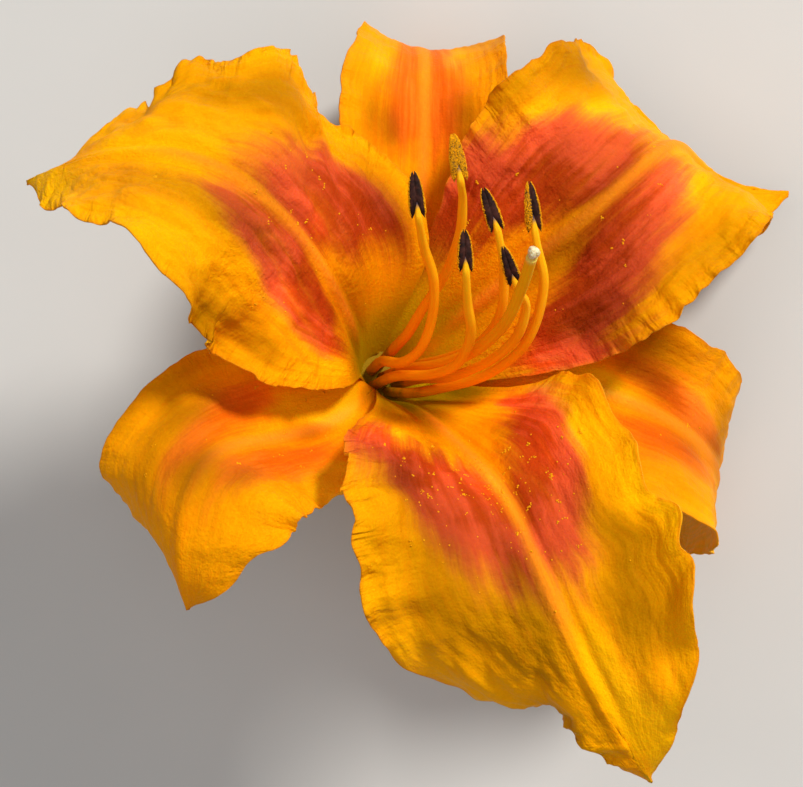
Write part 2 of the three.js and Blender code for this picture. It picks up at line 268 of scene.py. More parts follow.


# A petal or sepal: gold that warms to orange towards the throat, a red eye zone feathered along
# the veins and lighter towards its outer end, an olive throat, an orange rib and a tanned edge,
# whose colour also darkens the creases as painted shade. The outer face is plainer, with an olive
# sheath at its foot, rib and veins. The mesh's marks say where. A mark of painted light and shade
# multiplies the colour, with the grain's speckle, and no channel ends above the lightest colour's.
def bladeSkin(name, look):
    bench = NodeBench(name)
    surface = bench.surface()
    place = bench.place()
    streaks = bench.noise(bench.scaled(surface, (5, 34, 1)), 1.0, 3, 0.6, 0.3)
    fineStreaks = bench.noise(bench.scaled(surface, (9, 95, 1)), 1.0, 2, 0.6, 0.2)
    wrinkles = bench.noise(bench.scaled(surface, (62, 7, 1)), 1.0, 2, 0.5, 0.8)
    clouds = bench.noise(place, 110, 3, 0.55)
    grain = bench.noise(place, 1500, 2, 0.7)
    cells = bench.node(
        "TexVoronoi", {"Vector": place, "Scale": 2600.0, "Randomness": 0.9}, output="Distance"
    )
    warmth = bench.maths("ADD", bench.mark("warmth"), bench.spread(streaks, 0.3, 0.75, -0.18, 0.22))
    warmth = bench.maths("ADD", warmth, bench.spread(clouds, 0.35, 0.7, -0.14, 0.14), clamp=True)
    gold = bench.mix(warmth, look["gold"], look["orange"])
    hueShare = bench.maths("ADD", bench.spread(streaks, 0.3, 0.7, -0.35, 0.35), bench.mark("bloomLight"))
    hueShare = bench.maths("ADD", hueShare, bench.spread(clouds, 0.35, 0.65, -0.3, 0.3))
    flushHue = bench.mix(bench.spread(hueShare, 0.0, 1.0), look["flushDark"], look["flushLight"])
    flush = bench.maths("ADD", bench.mark("flush"), bench.spread(fineStreaks, 0.25, 0.75, -0.07, 0.07))
    flush = bench.maths("ADD", flush, bench.spread(clouds, 0.3, 0.7, -0.1, 0.1))
    flush = bench.maths("MULTIPLY", bench.spread(flush, 0.08, 0.95), look["flushStrength"])
    colour = bench.mix(flush, gold, flushHue)
    throat = bench.maths("MULTIPLY", bench.mark("throat"), look["throatShare"])
    colour = bench.mix(throat, colour, look["throat"])
    colour = bench.mix(bench.mark("ribTint"), colour, look["rib"])
    # The edge colour is the tanned margin, and along the creases it is painted shade.
    colour = bench.mix(bench.mark("edge"), colour, look["edge"])
    colour = bench.mix(bench.mark("outside"), colour, bench.mix(0.55, colour, look["outside"]))
    sheath = bench.maths("MULTIPLY", bench.mark("sheath"), bench.spread(fineStreaks, 0.3, 0.65, 0.55, 1.0))
    colour = bench.mix(sheath, colour, look["sheath"])
    # Painted light and shade: patches that brighten and darken the colour where the blade is lit or
    # shaded, times the grain's speckle.
    speckleAndPaintedShading = bench.maths("MULTIPLY", bench.spread(grain, 0.35, 0.7, 0.95, 1.03), bench.mark("paintedShading"))
    shade = bench.node("CombineColor", {0: speckleAndPaintedShading, 1: speckleAndPaintedShading, 2: speckleAndPaintedShading})
    colour = bench.mix(1.0, colour, shade, "MULTIPLY")
    colour = bench.mix(1.0, colour, look["lightest"], "DARKEN")
    relief = bench.bump(cells, 0.16, 0.0003)
    relief = bench.bump(grain, 0.22, 0.0003, relief)
    relief = bench.bump(bench.maths("MULTIPLY", wrinkles, bench.mark("rim")), 0.9, 0.002, relief)
    pebbles = bench.noise(bench.scaled(surface, (60, 34, 1)), 1.0, 3, 0.6, 0.15)
    relief = bench.bump(bench.maths("MULTIPLY", pebbles, bench.mark("pebbled")), 0.48, 0.0009, relief)
    relief = bench.bump(fineStreaks, 0.2, 0.0004, relief)
    roughness = bench.spread(grain, 0.3, 0.7, look["roughness"] - 0.08, look["roughness"] + 0.1)
    return bench.finish(
        Base_Color=colour,
        Roughness=roughness,
        Normal=relief,
        Specular_IOR_Level=look["gloss"],
        Specular_Tint=(1, 0.6, 0.08, 1),
        Subsurface_Weight=look["glow"],
        Subsurface_Radius=(1.0, 0.45, 0.05),
        Subsurface_Scale=0.0011,
    )


petalLook = {
    "lightest": (0.97, 0.43, 0.03, 1),
    "gold": (0.96, 0.38, 0.001, 1),
    "orange": (0.94, 0.26, 0.001, 1),
    "flushDark": (0.38, 0.028, 0.004, 1),
    "flushLight": (0.62, 0.068, 0.022, 1),
    "flushStrength": 0.96,
    "throat": (0.37, 0.25, 0.001, 1),
    "rib": (0.95, 0.25, 0.014, 1),
    # The tanned margin's colour, also used as painted shade in the creases.
    "edge": (0.62, 0.17, 0.006, 1),
    "outside": (0.93, 0.40, 0.008, 1),
    "sheath": (0.50, 0.38, 0.012, 1),
    "throatShare": 0.92,
    "roughness": 0.5,
    "gloss": 0.04,
    "glow": 0.25,
}
sepalLook = {
    **petalLook,
    "gold": (0.94, 0.33, 0.001, 1),
    "orange": (0.92, 0.22, 0.001, 1),
    "flushDark": (0.64, 0.07, 0.003, 1),
    "flushLight": (0.82, 0.145, 0.01, 1),
    "flushStrength": 0.85,
    "throatShare": 0.35,
    # The tanned margin's colour, also used as painted shade in the creases.
    "edge": (0.68, 0.2, 0.008, 1),
}

# Blades. Each list holds six even stations from foot to tip, angles in degrees and lengths in
# millimetres: lean from the bloom's axis, swing sideways, twist about the midrib, fold beside
# the midrib, width to each margin, and cup, the margin's further rise. A margin has so many
# crests: the scallop, in and out, has one of them at first, and the ruffle, up and down, peaks a
# quarter wave further on. Nibs are place, half length and millimetres that they add to the width.
# Crimping is how strongly a side is crimped. The eye zone's lists hold five stations from rib to
# margin: where it starts and ends along the blade, and how deep its red is. Swells, and the patches
# of painted light and shade, lie at a place and a reach, from -1 at the right margin to 1 at the
# left one, with a half length, a half breadth and then millimetres of height or stops of painted
# light and shade.
# In the shape that all blades share, a crimp is its size along the margin, the depth at which it
# has faded and its height, and a pucker its size and height.
bladeShape = {
    "ribThickness": 0.8, "marginThickness": 0.26, "marginCrowding": 1.25,
    "tipHalfWidth": 0.3, "tipTaper": 0.08,
    "ribHeight": 0.5, "ribWidth": 0.85, "grooveDepth": 0.32, "veinHeight": 0.075,
    "crimps": [(4, 6, 0.7), (2.2, 4, 0.55), (1.0, 1.5, 0.15)],
    "puckers": [(7, 0.75), (3.2, 0.55), (1.6, 0.33), (0.8, 0.1)],
    "creaseDepth": 0.28, "creaseSpacing": 3.4, "toothDepth": 0.16,
}
tepals = [
    {
        "name": "petal_left", "azimuth": 131, "length": 90,
        "lean": [24, 34, 48, 76, 138, 160], "swing": [0, -4, -14, -10, 2, 8],
        "twist": [-4, -6, 2, 6, 22, 34], "fold": [0, 15, 10, 10, 10, -5],
        "swells": [
            (0.5, 0.95, 0.1, 0.3, -3.2), (0.36, 0.85, 0.05, 0.25, 1.0), (0.68, 0.85, 0.04, 0.25, 1.1),
            (0.57, -0.95, 0.07, 0.35, 1.8), (0.62, -0.45, 0.12, 0.14, 0.8),
            (0.76, -0.8, 0.05, 0.25, -1.0), (0.745, -0.97, 0.006, 0.13, 0.7),
            (0.762, -0.97, 0.006, 0.13, -0.7), (0.779, -0.97, 0.006, 0.13, 0.8),
            (0.797, -0.97, 0.006, 0.13, -0.8), (0.815, -0.97, 0.006, 0.13, 0.8),
            (0.834, -0.97, 0.006, 0.13, -0.7),
        ],
        "paintedShadingPatches": [
            (0.05, -0.7, 0.08, 0.45, 0.35), (0.16, -0.6, 0.07, 0.4, 0.5),
            (0.55, 0.92, 0.065, 0.19, -1.1), (0.62, 0.31, 0.12, 0.16, -0.8),
            (0.57, -0.04, 0.1, 0.08, -0.6), (0.6, -0.63, 0.08, 0.2, -1.1),
            (0.3, -0.74, 0.08, 0.16, -0.95), (0.8, -0.1, 0.06, 0.15, 0.5), (0.93, 0.6, 0.06, 0.5, 0.3),
            (0.44, 0.41, 0.055, 0.13, 0.95), (0.63, 0.92, 0.05, 0.2, -0.4),
            (0.15, 0.1, 0.06, 0.3, -0.35), (0.245, 0.7, 0.06, 0.14, 0.75),
            (0.75, -0.85, 0.07, 0.25, -0.5), (0.72, 0.4, 0.08, 0.3, -0.25),
            (0.3, 0.45, 0.09, 0.15, 0.45), (0.41, 0.81, 0.045, 0.12, -0.75),
            (0.97, 0.2, 0.04, 0.6, 0.7), (0.43, -0.15, 0.07, 0.1, 0.5), (0.27, -0.1, 0.06, 0.12, -0.5),
            (0.7, -0.53, 0.05, 0.15, -0.5), (0.49, 0.74, 0.06, 0.12, -0.5),
        ],
        "left": {
            "wide": [3, 11, 21, 23, 14, 0], "cup": [45, 5, -30, -25, -10, -30],
            "crests": 9, "first": 0.6, "scallop": 0.6, "ruffle": 1.1, "crimping": 1,
            "eyeFrom": [0.38, 0.26, 0.21, 0.22, 0.3], "eyeTo": [0.63, 0.69, 0.5, 0.33, 0.3],
            "eyeDepth": [0.8, 1, 0.9, 0.15, 0],
            "nibs": [(0.1, 0.07, -2.2), (0.57, 0.02, -1), (0.64, 0.02, 0.6), (0.94, 0.03, 2)],
        },
        "right": {
            "wide": [3, 16, 26, 24, 15, 0], "cup": [45, 35, -45, -30, -28, -50],
            "crests": 8, "first": 0.6, "scallop": 0.9, "ruffle": 1.2, "crimping": 1.2,
            "eyeFrom": [0.38, 0.3, 0.25, 0.22, 0.24], "eyeTo": [0.65, 0.63, 0.53, 0.36, 0.28],
            "eyeDepth": [0.75, 1, 1, 1, 0.15],
            "nibs": [
                (0.505, 0.025, -2.6), (0.56, 0.02, 1), (0.65, 0.03, -1), (0.71, 0.02, 0.6),
                (0.79, 0.035, -2.4), (0.87, 0.02, -2), (0.94, 0.05, -4.6),
            ],
        },
    },
    {
        "name": "petal_right", "azimuth": 3, "length": 100,
        "lean": [14, 24, 54, 116, 132, 56], "swing": [0, -2, 0, -2, -42, -50],
        "twist": [-2, -6, -12, -20, -30, -32], "fold": [0, 5, 10, 5, -15, -5],
        "swells": [
            (0.5, 0.75, 0.08, 0.2, 0.9), (0.42, -0.8, 0.05, 0.15, 1.1), (0.34, -0.35, 0.08, 0.2, -0.9),
            (0.6, -0.45, 0.1, 0.25, 0.8), (0.42, 0.6, 0.06, 0.2, -0.6),
        ],
        "paintedShadingPatches": [
            (0.08, 0.2, 0.13, 1.2, 0.7), (0.25, -0.94, 0.05, 0.17, 1.5),
            (0.35, -0.11, 0.08, 0.12, -1.05), (0.35, -0.69, 0.06, 0.26, -1.05),
            (0.45, 0.66, 0.045, 0.12, 0.9), (0.555, 0.44, 0.055, 0.17, 0.6),
            (0.55, -0.28, 0.055, 0.15, 0.8), (0.45, 0.92, 0.06, 0.15, -0.7),
            (0.59, 0.82, 0.075, 0.25, -1.15), (0.65, -0.55, 0.05, 0.2, -0.6),
            (0.45, 0.04, 0.11, 0.09, -0.6), (0.145, -0.62, 0.105, 0.25, 1.0),
            (0.05, -0.72, 0.055, 0.25, 0.95), (0.49, -0.83, 0.065, 0.22, -0.7),
            (0.05, -0.1, 0.06, 0.2, 0.8), (0.35, 0.42, 0.05, 0.12, 0.45), (0.15, 0.1, 0.06, 0.15, -0.4),
            (0.42, 0.4, 0.12, 0.3, -0.25), (0.42, -0.4, 0.1, 0.3, -0.2),
        ],
        "left": {
            "wide": [3, 12, 22, 21, 15, 0], "cup": [45, 10, 0, 25, 5, -20],
            "crests": 8, "first": 0.56, "scallop": 0.5, "ruffle": 1, "crimping": 1,
            "eyeFrom": [0.42, 0.32, 0.24, 0.18, 0.15], "eyeTo": [0.66, 0.62, 0.55, 0.45, 0.38],
            "eyeDepth": [0.85, 1, 1, 1, 1],
            "nibs": [
                (0.51, 0.03, 0.9), (0.56, 0.02, 0.6), (0.65, 0.02, 1.1), (0.675, 0.045, 2.2),
                (0.88, 0.09, -6),
            ],
        },
        "right": {
            "wide": [3, 13, 21, 20, 15, 0], "cup": [45, 10, 0, 0, -15, -10],
            "crests": 7, "first": 0.53, "scallop": 0.4, "ruffle": 0.8, "crimping": 1,
            "eyeFrom": [0.42, 0.31, 0.24, 0.19, 0.17], "eyeTo": [0.66, 0.62, 0.53, 0.43, 0.38],
            "eyeDepth": [0.85, 1, 1, 1, 1],
            "nibs": [(0.5, 0.04, -0.7), (0.95, 0.04, 3.9)],
        },
    },
    {
        "name": "petal_front", "azimuth": 236, "length": 92,
        "lean": [18, 36, 40, 72, 92, 122], "swing": [0, -4, 0, 8, 24, 54],
        "twist": [0, 6, 14, 20, 48, 54], "fold": [0, 15, 25, 20, 5, 5],
        "swells": [
            (0.53, 0.62, 0.1, 0.16, 1.6), (0.72, 0.7, 0.1, 0.2, -1.2), (0.74, 1.0, 0.1, 0.2, 1.8),
            (0.86, 0.6, 0.03, 0.2, 0.9), (0.7, -0.55, 0.09, 0.2, -1.0), (0.54, -0.85, 0.08, 0.2, 0.9),
            (1.0, 0, 0.12, 1.2, 1.3),
        ],
        "paintedShadingPatches": [
            (0.1, -0.1, 0.06, 0.15, -1.1), (0.14, 0.86, 0.055, 0.17, -1.5),
            (0.25, 0.7, 0.08, 0.25, 0.9), (0.22, 0.3, 0.06, 0.2, 0.6), (0.38, 0.65, 0.08, 0.2, 0.6),
            (0.47, 0.47, 0.068, 0.22, 0.72), (0.45, -0.1, 0.06, 0.1, 0.9),
            (0.22, -0.7, 0.06, 0.25, -1.5), (0.335, -0.72, 0.045, 0.19, 1.05),
            (0.35, -0.5, 0.08, 0.25, 0.3), (0.455, -0.64, 0.07, 0.14, -1.2),
            (0.4, -0.85, 0.04, 0.1, -0.5), (0.65, 0.61, 0.075, 0.14, -1.3),
            (0.745, 0.43, 0.06, 0.16, -0.95), (0.78, 0.6, 0.07, 0.15, -0.7),
            (0.65, -0.12, 0.09, 0.095, -1.3), (0.73, -0.31, 0.085, 0.18, -1.1),
            (0.575, -0.53, 0.07, 0.2, -0.8), (0.62, 0.95, 0.08, 0.15, 0.3),
            (0.88, 0.4, 0.07, 0.35, 0.3), (0.83, 0.14, 0.075, 0.12, 0.85),
            (0.08, 0.45, 0.05, 0.1, -0.7), (0.33, 0.35, 0.06, 0.12, -0.4),
            (0.86, -0.7, 0.05, 0.25, -0.8), (0.16, 0.62, 0.05, 0.15, -0.6), (0.95, 0.7, 0.06, 0.3, 0.5),
            (0.315, 0.87, 0.05, 0.13, 0.87), (0.35, -0.35, 0.05, 0.1, -0.5),
            (0.03, 0.3, 0.05, 0.15, 0.6), (0.66, -0.63, 0.06, 0.15, -0.9),
            (0.85, -0.35, 0.04, 0.15, 0.4), (0.27, -0.25, 0.06, 0.15, -0.7),
            (0.16, -0.85, 0.05, 0.15, -0.6), (0.88, -0.15, 0.06, 0.15, -0.5),
            (0.43, -0.32, 0.03, 0.08, 0.5), (0.55, -0.85, 0.06, 0.15, -0.4),
        ],
        "left": {
            "wide": [3, 12, 20, 19, 19, 0], "cup": [45, 25, 20, 5, 0, 10],
            "crests": 9, "first": 0.64, "scallop": 0.4, "ruffle": 1, "crimping": 0.3,
            "eyeFrom": [0.45, 0.41, 0.32, 0.22, 0.2], "eyeTo": [0.71, 0.7, 0.61, 0.43, 0.32],
            "eyeDepth": [0.85, 1, 1, 0.9, 0.3],
            "nibs": [(0.66, 0.025, 2.0), (0.81, 0.04, -0.9), (0.95, 0.03, 1)],
        },
        "right": {
            "wide": [3, 10, 22, 25, 17, 0], "cup": [45, 5, -10, -15, -70, -35],
            "crests": 7, "first": 0.62, "scallop": 0.8, "ruffle": 1, "crimping": 1.3,
            "eyeFrom": [0.42, 0.38, 0.35, 0.3, 0.27], "eyeTo": [0.72, 0.68, 0.6, 0.47, 0.41],
            "eyeDepth": [0.85, 1, 1, 1, 0.9],
            "nibs": [(0.05, 0.06, -1.2), (0.55, 0.02, 1.3), (0.68, 0.02, 1.1), (0.88, 0.05, -2.2)],
        },
    },
    {
        "name": "sepal_back", "azimuth": 51, "length": 83,
        "lean": [20, 50, 80, 124, 160, 154], "swing": [0, 4, 0, -18, -38, -54],
        "twist": [0, -4, -10, -20, -26, -24], "fold": [0, 5, 10, 10, 5, 5],
        "swells": [(0.55, 0.7, 0.08, 0.25, 0.7), (0.6, -0.6, 0.08, 0.25, -0.5)],
        "paintedShadingPatches": [
            (0.42, 0.38, 0.05, 0.12, -0.98), (0.455, -0.49, 0.05, 0.18, -1.15),
            (0.5, 0.1, 0.1, 0.2, 0.35), (0.62, -0.33, 0.06, 0.12, 0.85), (0.55, 0.6, 0.05, 0.15, 0.45),
            (0.46, 0, 0.1, 0.1, -0.3), (0.3, 0.3, 0.05, 0.12, -0.4), (0.68, -0.6, 0.04, 0.2, -0.4),
            (0.37, 0.3, 0.03, 0.25, 0.6), (0.445, 0.6, 0.05, 0.13, -0.8),
            (0.35, -0.25, 0.05, 0.15, -0.5),
        ],
        "left": {
            "wide": [3, 10, 15, 12, 7, 0], "cup": [45, 35, 20, 20, 0, -25],
            "crests": 6, "first": 0.5, "scallop": 0.2, "ruffle": 0.4, "crimping": 0.4,
            "eyeFrom": [0.4, 0.38, 0.44, 0.5, 0.5], "eyeTo": [0.86, 0.82, 0.62, 0.5, 0.5],
            "eyeDepth": [0.75, 0.85, 0.4, 0, 0],
            "nibs": [],
        },
        "right": {
            "wide": [3, 9, 13, 13, 10, 0], "cup": [45, 40, 30, 30, 10, -20],
            "crests": 6, "first": 0.56, "scallop": 0.2, "ruffle": 0.4, "crimping": 0.4,
            "eyeFrom": [0.4, 0.38, 0.42, 0.5, 0.5], "eyeTo": [0.86, 0.82, 0.6, 0.5, 0.5],
            "eyeDepth": [0.75, 0.9, 0.5, 0, 0],
            "nibs": [(0.64, 0.02, 0.6)],
        },
    },
    {
        "name": "sepal_left", "azimuth": 185, "length": 72,
        "lean": [24, 60, 66, 62, 112, 140], "swing": [2, -6, -22, -14, 42, 92],
        "twist": [0, 2, 6, 20, 48, 92], "fold": [0, 5, 10, 5, -5, -5],
        "swells": [
            (0.09, 0.1, 0.07, 0.9, 2.6), (0.6, 0.7, 0.08, 0.25, 0.8), (0.5, -0.6, 0.1, 0.25, -0.6),
        ],
        "paintedShadingPatches": [
            (0.22, -0.1, 0.09, 0.35, 1.3), (0.325, 0.02, 0.075, 0.14, -1.2),
            (0.38, -0.25, 0.12, 0.2, 0.8), (0.37, 0.63, 0.06, 0.18, 1.4),
            (0.435, 0.905, 0.045, 0.13, 2.5), (0.7, -0.04, 0.075, 0.21, -1.2),
            (0.61, -0.54, 0.07, 0.17, -1.1), (0.665, 0.35, 0.075, 0.15, -0.7),
            (0.235, -0.18, 0.085, 0.19, 1.45), (0.115, 0, 0.042, 0.18, -0.95),
            (0.25, 0.7, 0.05, 0.25, -0.6), (0.185, -0.34, 0.065, 0.14, 1.25),
            (0.72, -0.45, 0.06, 0.15, -0.5), (0.1, -0.2, 0.04, 0.15, -0.5),
            (0.47, -0.3, 0.05, 0.12, -0.25), (0.56, -0.9, 0.08, 0.12, -0.6),
        ],
        "left": {
            "wide": [3, 9, 13, 15, 15, 0], "cup": [45, 40, 25, 0, -30, -15],
            "crests": 7, "first": 0.8, "scallop": 0.6, "ruffle": 0.8, "crimping": 0.3,
            "eyeFrom": [0.5, 0.33, 0.3, 0.4, 0.4], "eyeTo": [0.76, 0.78, 0.68, 0.45, 0.4],
            "eyeDepth": [0.3, 0.85, 0.65, 0, 0],
            "nibs": [
                (0.51, 0.02, -1.1), (0.585, 0.02, 0.9), (0.66, 0.02, -0.5), (0.78, 0.02, -0.9),
                (0.83, 0.015, 0.7), (0.94, 0.03, 1.5),
            ],
        },
        "right": {
            "wide": [3, 10, 16, 15, 16, 0], "cup": [45, 35, 10, -20, -45, -60],
            "crests": 7, "first": 0.54, "scallop": 0.4, "ruffle": 0.6, "crimping": 0.35,
            "eyeFrom": [0.5, 0.45, 0.42, 0.45, 0.45], "eyeTo": [0.76, 0.77, 0.62, 0.5, 0.45],
            "eyeDepth": [0.3, 0.8, 0.75, 0.1, 0],
            "nibs": [(0.61, 0.02, 0.6), (0.73, 0.04, 1.2)],
        },
    },
    {
        "name": "sepal_right", "azimuth": 304, "length": 91,
        "lean": [18, 38, 76, 128, 168, 160], "swing": [0, 0, -4, 2, 0, -2],
        "twist": [0, 2, 2, -2, -4, -2], "fold": [0, 5, 5, 5, 0, 0],
        "swells": [
            (0.5, -0.6, 0.06, 0.25, 0.7), (0.42, 0.4, 0.06, 0.25, -0.5), (0.6, 0.2, 0.09, 0.8, -0.9),
        ],
        "paintedShadingPatches": [
            (0.35, 0.12, 0.065, 0.18, 1.5), (0.52, 0.4, 0.06, 0.15, 0.6),
            (0.635, 0.38, 0.055, 0.27, -0.75), (0.6, 0.35, 0.04, 0.12, 0.4),
            (0.48, 0.35, 0.05, 0.12, -0.3), (0.66, 0.1, 0.04, 0.2, -0.4),
            (0.55, -0.15, 0.06, 0.15, -0.4), (0.7, -0.9, 0.1, 0.15, 0.8), (0.42, 0.75, 0.06, 0.2, -0.9),
            (0.43, 0.35, 0.05, 0.2, -0.8), (0.36, -0.4, 0.06, 0.2, -0.3), (0.45, 0.5, 0.06, 0.4, -0.4),
        ],
        "left": {
            "wide": [3, 9, 13, 13, 10, 0], "cup": [45, 40, 25, 20, -10, -25],
            "crests": 7, "first": 0.72, "scallop": 0.3, "ruffle": 0.6, "crimping": 0.45,
            "eyeFrom": [0.44, 0.4, 0.34, 0.36, 0.4], "eyeTo": [0.68, 0.68, 0.55, 0.4, 0.4],
            "eyeDepth": [0.45, 0.9, 0.7, 0.1, 0],
            "nibs": [(0.54, 0.03, 0.9), (0.95, 0.07, 3.8)],
        },
        "right": {
            "wide": [3, 10, 15, 13, 10, 0], "cup": [45, 30, 15, 15, -10, -30],
            "crests": 7, "first": 0.86, "scallop": 0.3, "ruffle": 0.6, "crimping": 0.45,
            "eyeFrom": [0.42, 0.4, 0.4, 0.42, 0.42], "eyeTo": [0.66, 0.66, 0.6, 0.44, 0.42],
            "eyeDepth": [0.4, 0.9, 0.5, 0, 0],
            "nibs": [(0.65, 0.05, 2.2), (0.85, 0.05, 0.5), (0.97, 0.05, 1.5)],
        },
    },
]
# The foot stands on a ring round the axis, widened and cupped by so much there. The rest is the
# mesh's rows and columns, the veins on each side and the strength of puckers and rib.
petalGrid = {
    "ring": 3.9, "footWiden": 1.4, "footCup": 18, "rows": 280, "columns": 128,
    "veins": 12, "puckering": 1.0, "ribShare": 1.0,
}
sepalGrid = {
    "ring": 5.4, "footWiden": 1.9, "footCup": 6, "rows": 190, "columns": 100,
    "veins": 9, "puckering": 0.8, "ribShare": 0.45,
}


# The midrib and its frame: forward leans from the axis and swings sideways, across and inward
# turn about it by the twist, and the midrib is the running sum of forward from the foot.
def midrib(tepal, place, ring):
    azimuth = math.radians(tepal["azimuth"])
    lean = np.radians(along(tepal["lean"], place))
    heading = azimuth + np.radians(along(tepal["swing"], place))
    twist = np.radians(along(tepal["twist"], place))[:, None]
    outward = np.stack([np.cos(heading), np.sin(heading), 0 * heading], axis=-1)
    sideways = np.stack([-np.sin(heading), np.cos(heading), 0 * heading], axis=-1)
    axis = np.array([0, 0, 1.0])
    forward = outward * np.sin(lean)[:, None] + axis * np.cos(lean)[:, None]
    inward = -outward * np.cos(lean)[:, None] + axis * np.sin(lean)[:, None]
    across = sideways * np.cos(twist) + inward * np.sin(twist)
    normal = inward * np.cos(twist) - sideways * np.sin(twist)
    steps = (forward[1:] + forward[:-1]) / 2 * (tepal["length"] * np.diff(place))[:, None]
    foot = ring * np.array([[math.cos(azimuth), math.sin(azimuth), 0]])
    return np.concatenate([foot, foot + np.cumsum(steps, axis=0)]), across, normal


# The sum of bells at places along a blade: each has its place, its half length and its height.
def localSum(bells, s):
    return sum((height * bell(s - middle, size) for middle, size, height in bells), 0 * s)


# A blade's value for the margin on whose side each point lies: right where v is below 0, else
# left. A curve turns a list of stations or nibs into values.
def bothSides(tepal, key, v, curve=None):
    if curve is None:
        return np.where(v < 0, tepal["right"][key], tepal["left"][key])
    return np.where(v < 0, curve(tepal["right"][key]), curve(tepal["left"][key]))


# A blade's middle surface. Its section leaves the midrib at the fold's slope and bends evenly by
# the cup: out = w/c (sin(f + c|v|) - sin f), up = w/c (cos f - cos(f + c|v|)), and the ruffle
# adds a sine of the place times |v| cubed. The width takes the nibs, the scallop's cosine, a
# taper at the tip and, near the margin, small teeth of noise.
def bladeMiddle(tepal, grid, place, v):
    point, across, normal = midrib(tepal, place, grid["ring"])
    s, v = np.meshgrid(place, v, indexing="ij")
    reach = np.abs(v)
    overPlace = lambda stations: along(stations, place)[:, None]
    fold = np.radians(overPlace(tepal["fold"]))
    foot = 1 - smoothStep(s, 0, 0.17)
    cup = np.radians(bothSides(tepal, "cup", v, overPlace) + grid["footCup"] * foot)
    cup = np.where(np.abs(cup) < 1e-4, 1e-4, cup)
    spread = smoothStep(s, 0.25, 0.5) * (1 - smoothStep(s, 0.88, 1))
    wave = 2 * np.pi * bothSides(tepal, "crests", v) * (s - bothSides(tepal, "first", v))
    width = bothSides(tepal, "wide", v, overPlace) + grid["footWiden"] * foot
    width = width + bothSides(tepal, "nibs", v, lambda nibs: localSum(nibs, s))
    width = width + bothSides(tepal, "scallop", v) * spread * np.cos(wave)
    width = width * (1 - bladeShape["tipTaper"] * smoothStep(s, 0.88, 0.985))
    seed = tepal["azimuth"]
    teeth = softNoise(s * tepal["length"] / 0.9, np.sign(v) * 7 + 20, seed)
    teeth = teeth + softNoise(s * tepal["length"] / 2.6, np.sign(v) * 7 + 40, seed)
    width = np.maximum(width, bladeShape["tipHalfWidth"])
    margin = width + bladeShape["toothDepth"] * teeth * reach**4 * smoothStep(s, 0.12, 0.3)
    scale = margin / cup
    out = scale * (np.sin(fold + cup * reach) - np.sin(fold))
    up = scale * (np.cos(fold) - np.cos(fold + cup * reach))
    ruffle = bothSides(tepal, "ruffle", v) * spread * reach**3 * np.sin(wave)
    points = point[:, None] + (np.sign(v) * out)[..., None] * across[:, None]
    return points + (up + ruffle)[..., None] * normal[:, None], s, v, width


# Fine relief, in millimetres along the surface normal: a rib between two grooves, veins as a
# cosine of the reach, cubed, layers of noise for the puckers, flatter where crimping is weak,
# creases of (1 - |noise|)^5, the swells' bells, and crimps, in patches, with ridges of
# 1 - 2.6 |noise| that die away exponentially from the margin.
def bladeRelief(tepal, grid, s, v, width):
    shape = bladeShape
    seed = tepal["azimuth"]
    side = np.sign(v)
    reach = np.abs(v)
    fromRib, fromMargin = reach * width, (1 - reach) * width
    millimetres = s * tepal["length"]
    ribFade = grid["ribShare"] * smoothStep(s, 0.04, 0.2) * (1 - smoothStep(s, 0.8, 0.97))
    relief = shape["ribHeight"] * bell(fromRib, shape["ribWidth"]) * ribFade
    relief -= shape["grooveDepth"] * bell(fromRib - 2 * shape["ribWidth"], shape["ribWidth"]) * ribFade
    drift = 0.35 * softNoise(millimetres / 14, reach * 6 + 9 * side, seed + 1)
    vein = 0.5 + 0.5 * np.cos(2 * np.pi * (grid["veins"] * reach + drift))
    veinFade = smoothStep(fromRib, 1, 4) * smoothStep(fromMargin, 0.4, 3) * smoothStep(s, 0.1, 0.3)
    veinFade = veinFade * (1 - 0.8 * smoothStep(s, 0.72, 0.9))
    relief += shape["veinHeight"] * vein**3 * veinFade
    crimping = bothSides(tepal, "crimping", v)
    body = grid["puckering"] * smoothStep(s, 0.2, 0.4) * (0.2 + 0.8 * np.minimum(crimping, 1))
    for layer, (size, height) in enumerate(shape["puckers"]):
        pucker = softNoise(millimetres / (1.6 * size), side * fromRib / size, seed + 20 + layer)
        relief += height * pucker * body * smoothStep(fromRib, 0, 5)
    path = softNoise(millimetres / 15, side * fromRib / shape["creaseSpacing"], seed + 40)
    gaps = smoothStep(softNoise(millimetres / 20, side * fromRib / 9, seed + 41), -0.2, 0.3)
    crease = (1 - np.abs(path)) ** 5 * gaps
    crease = crease * body * smoothStep(fromRib, 1.5, 4) * smoothStep(fromMargin, 1, 5)
    relief -= shape["creaseDepth"] * crease
    for middle, reachTo, alongSize, acrossSize, height in tepal["swells"]:
        relief += height * bell(s - middle, alongSize) * bell(v - reachTo, acrossSize)
    patches = np.clip(0.55 + 0.9 * softNoise(s * 9, side * 3 + 60, seed + 5), 0.05, 1.3)
    patches = patches * smoothStep(s, 0.2, 0.36) * (1 - smoothStep(s, 0.92, 1)) * crimping
    for layer, (size, reachIn, height) in enumerate(shape["crimps"]):
        fold = softNoise(millimetres / size, fromMargin / 9 + 40 * side, seed + 30 + layer)
        relief += height * patches * (1 - 2.6 * np.abs(fold)) * np.exp(-fromMargin / reachIn)
    return relief, vein, crease, patches
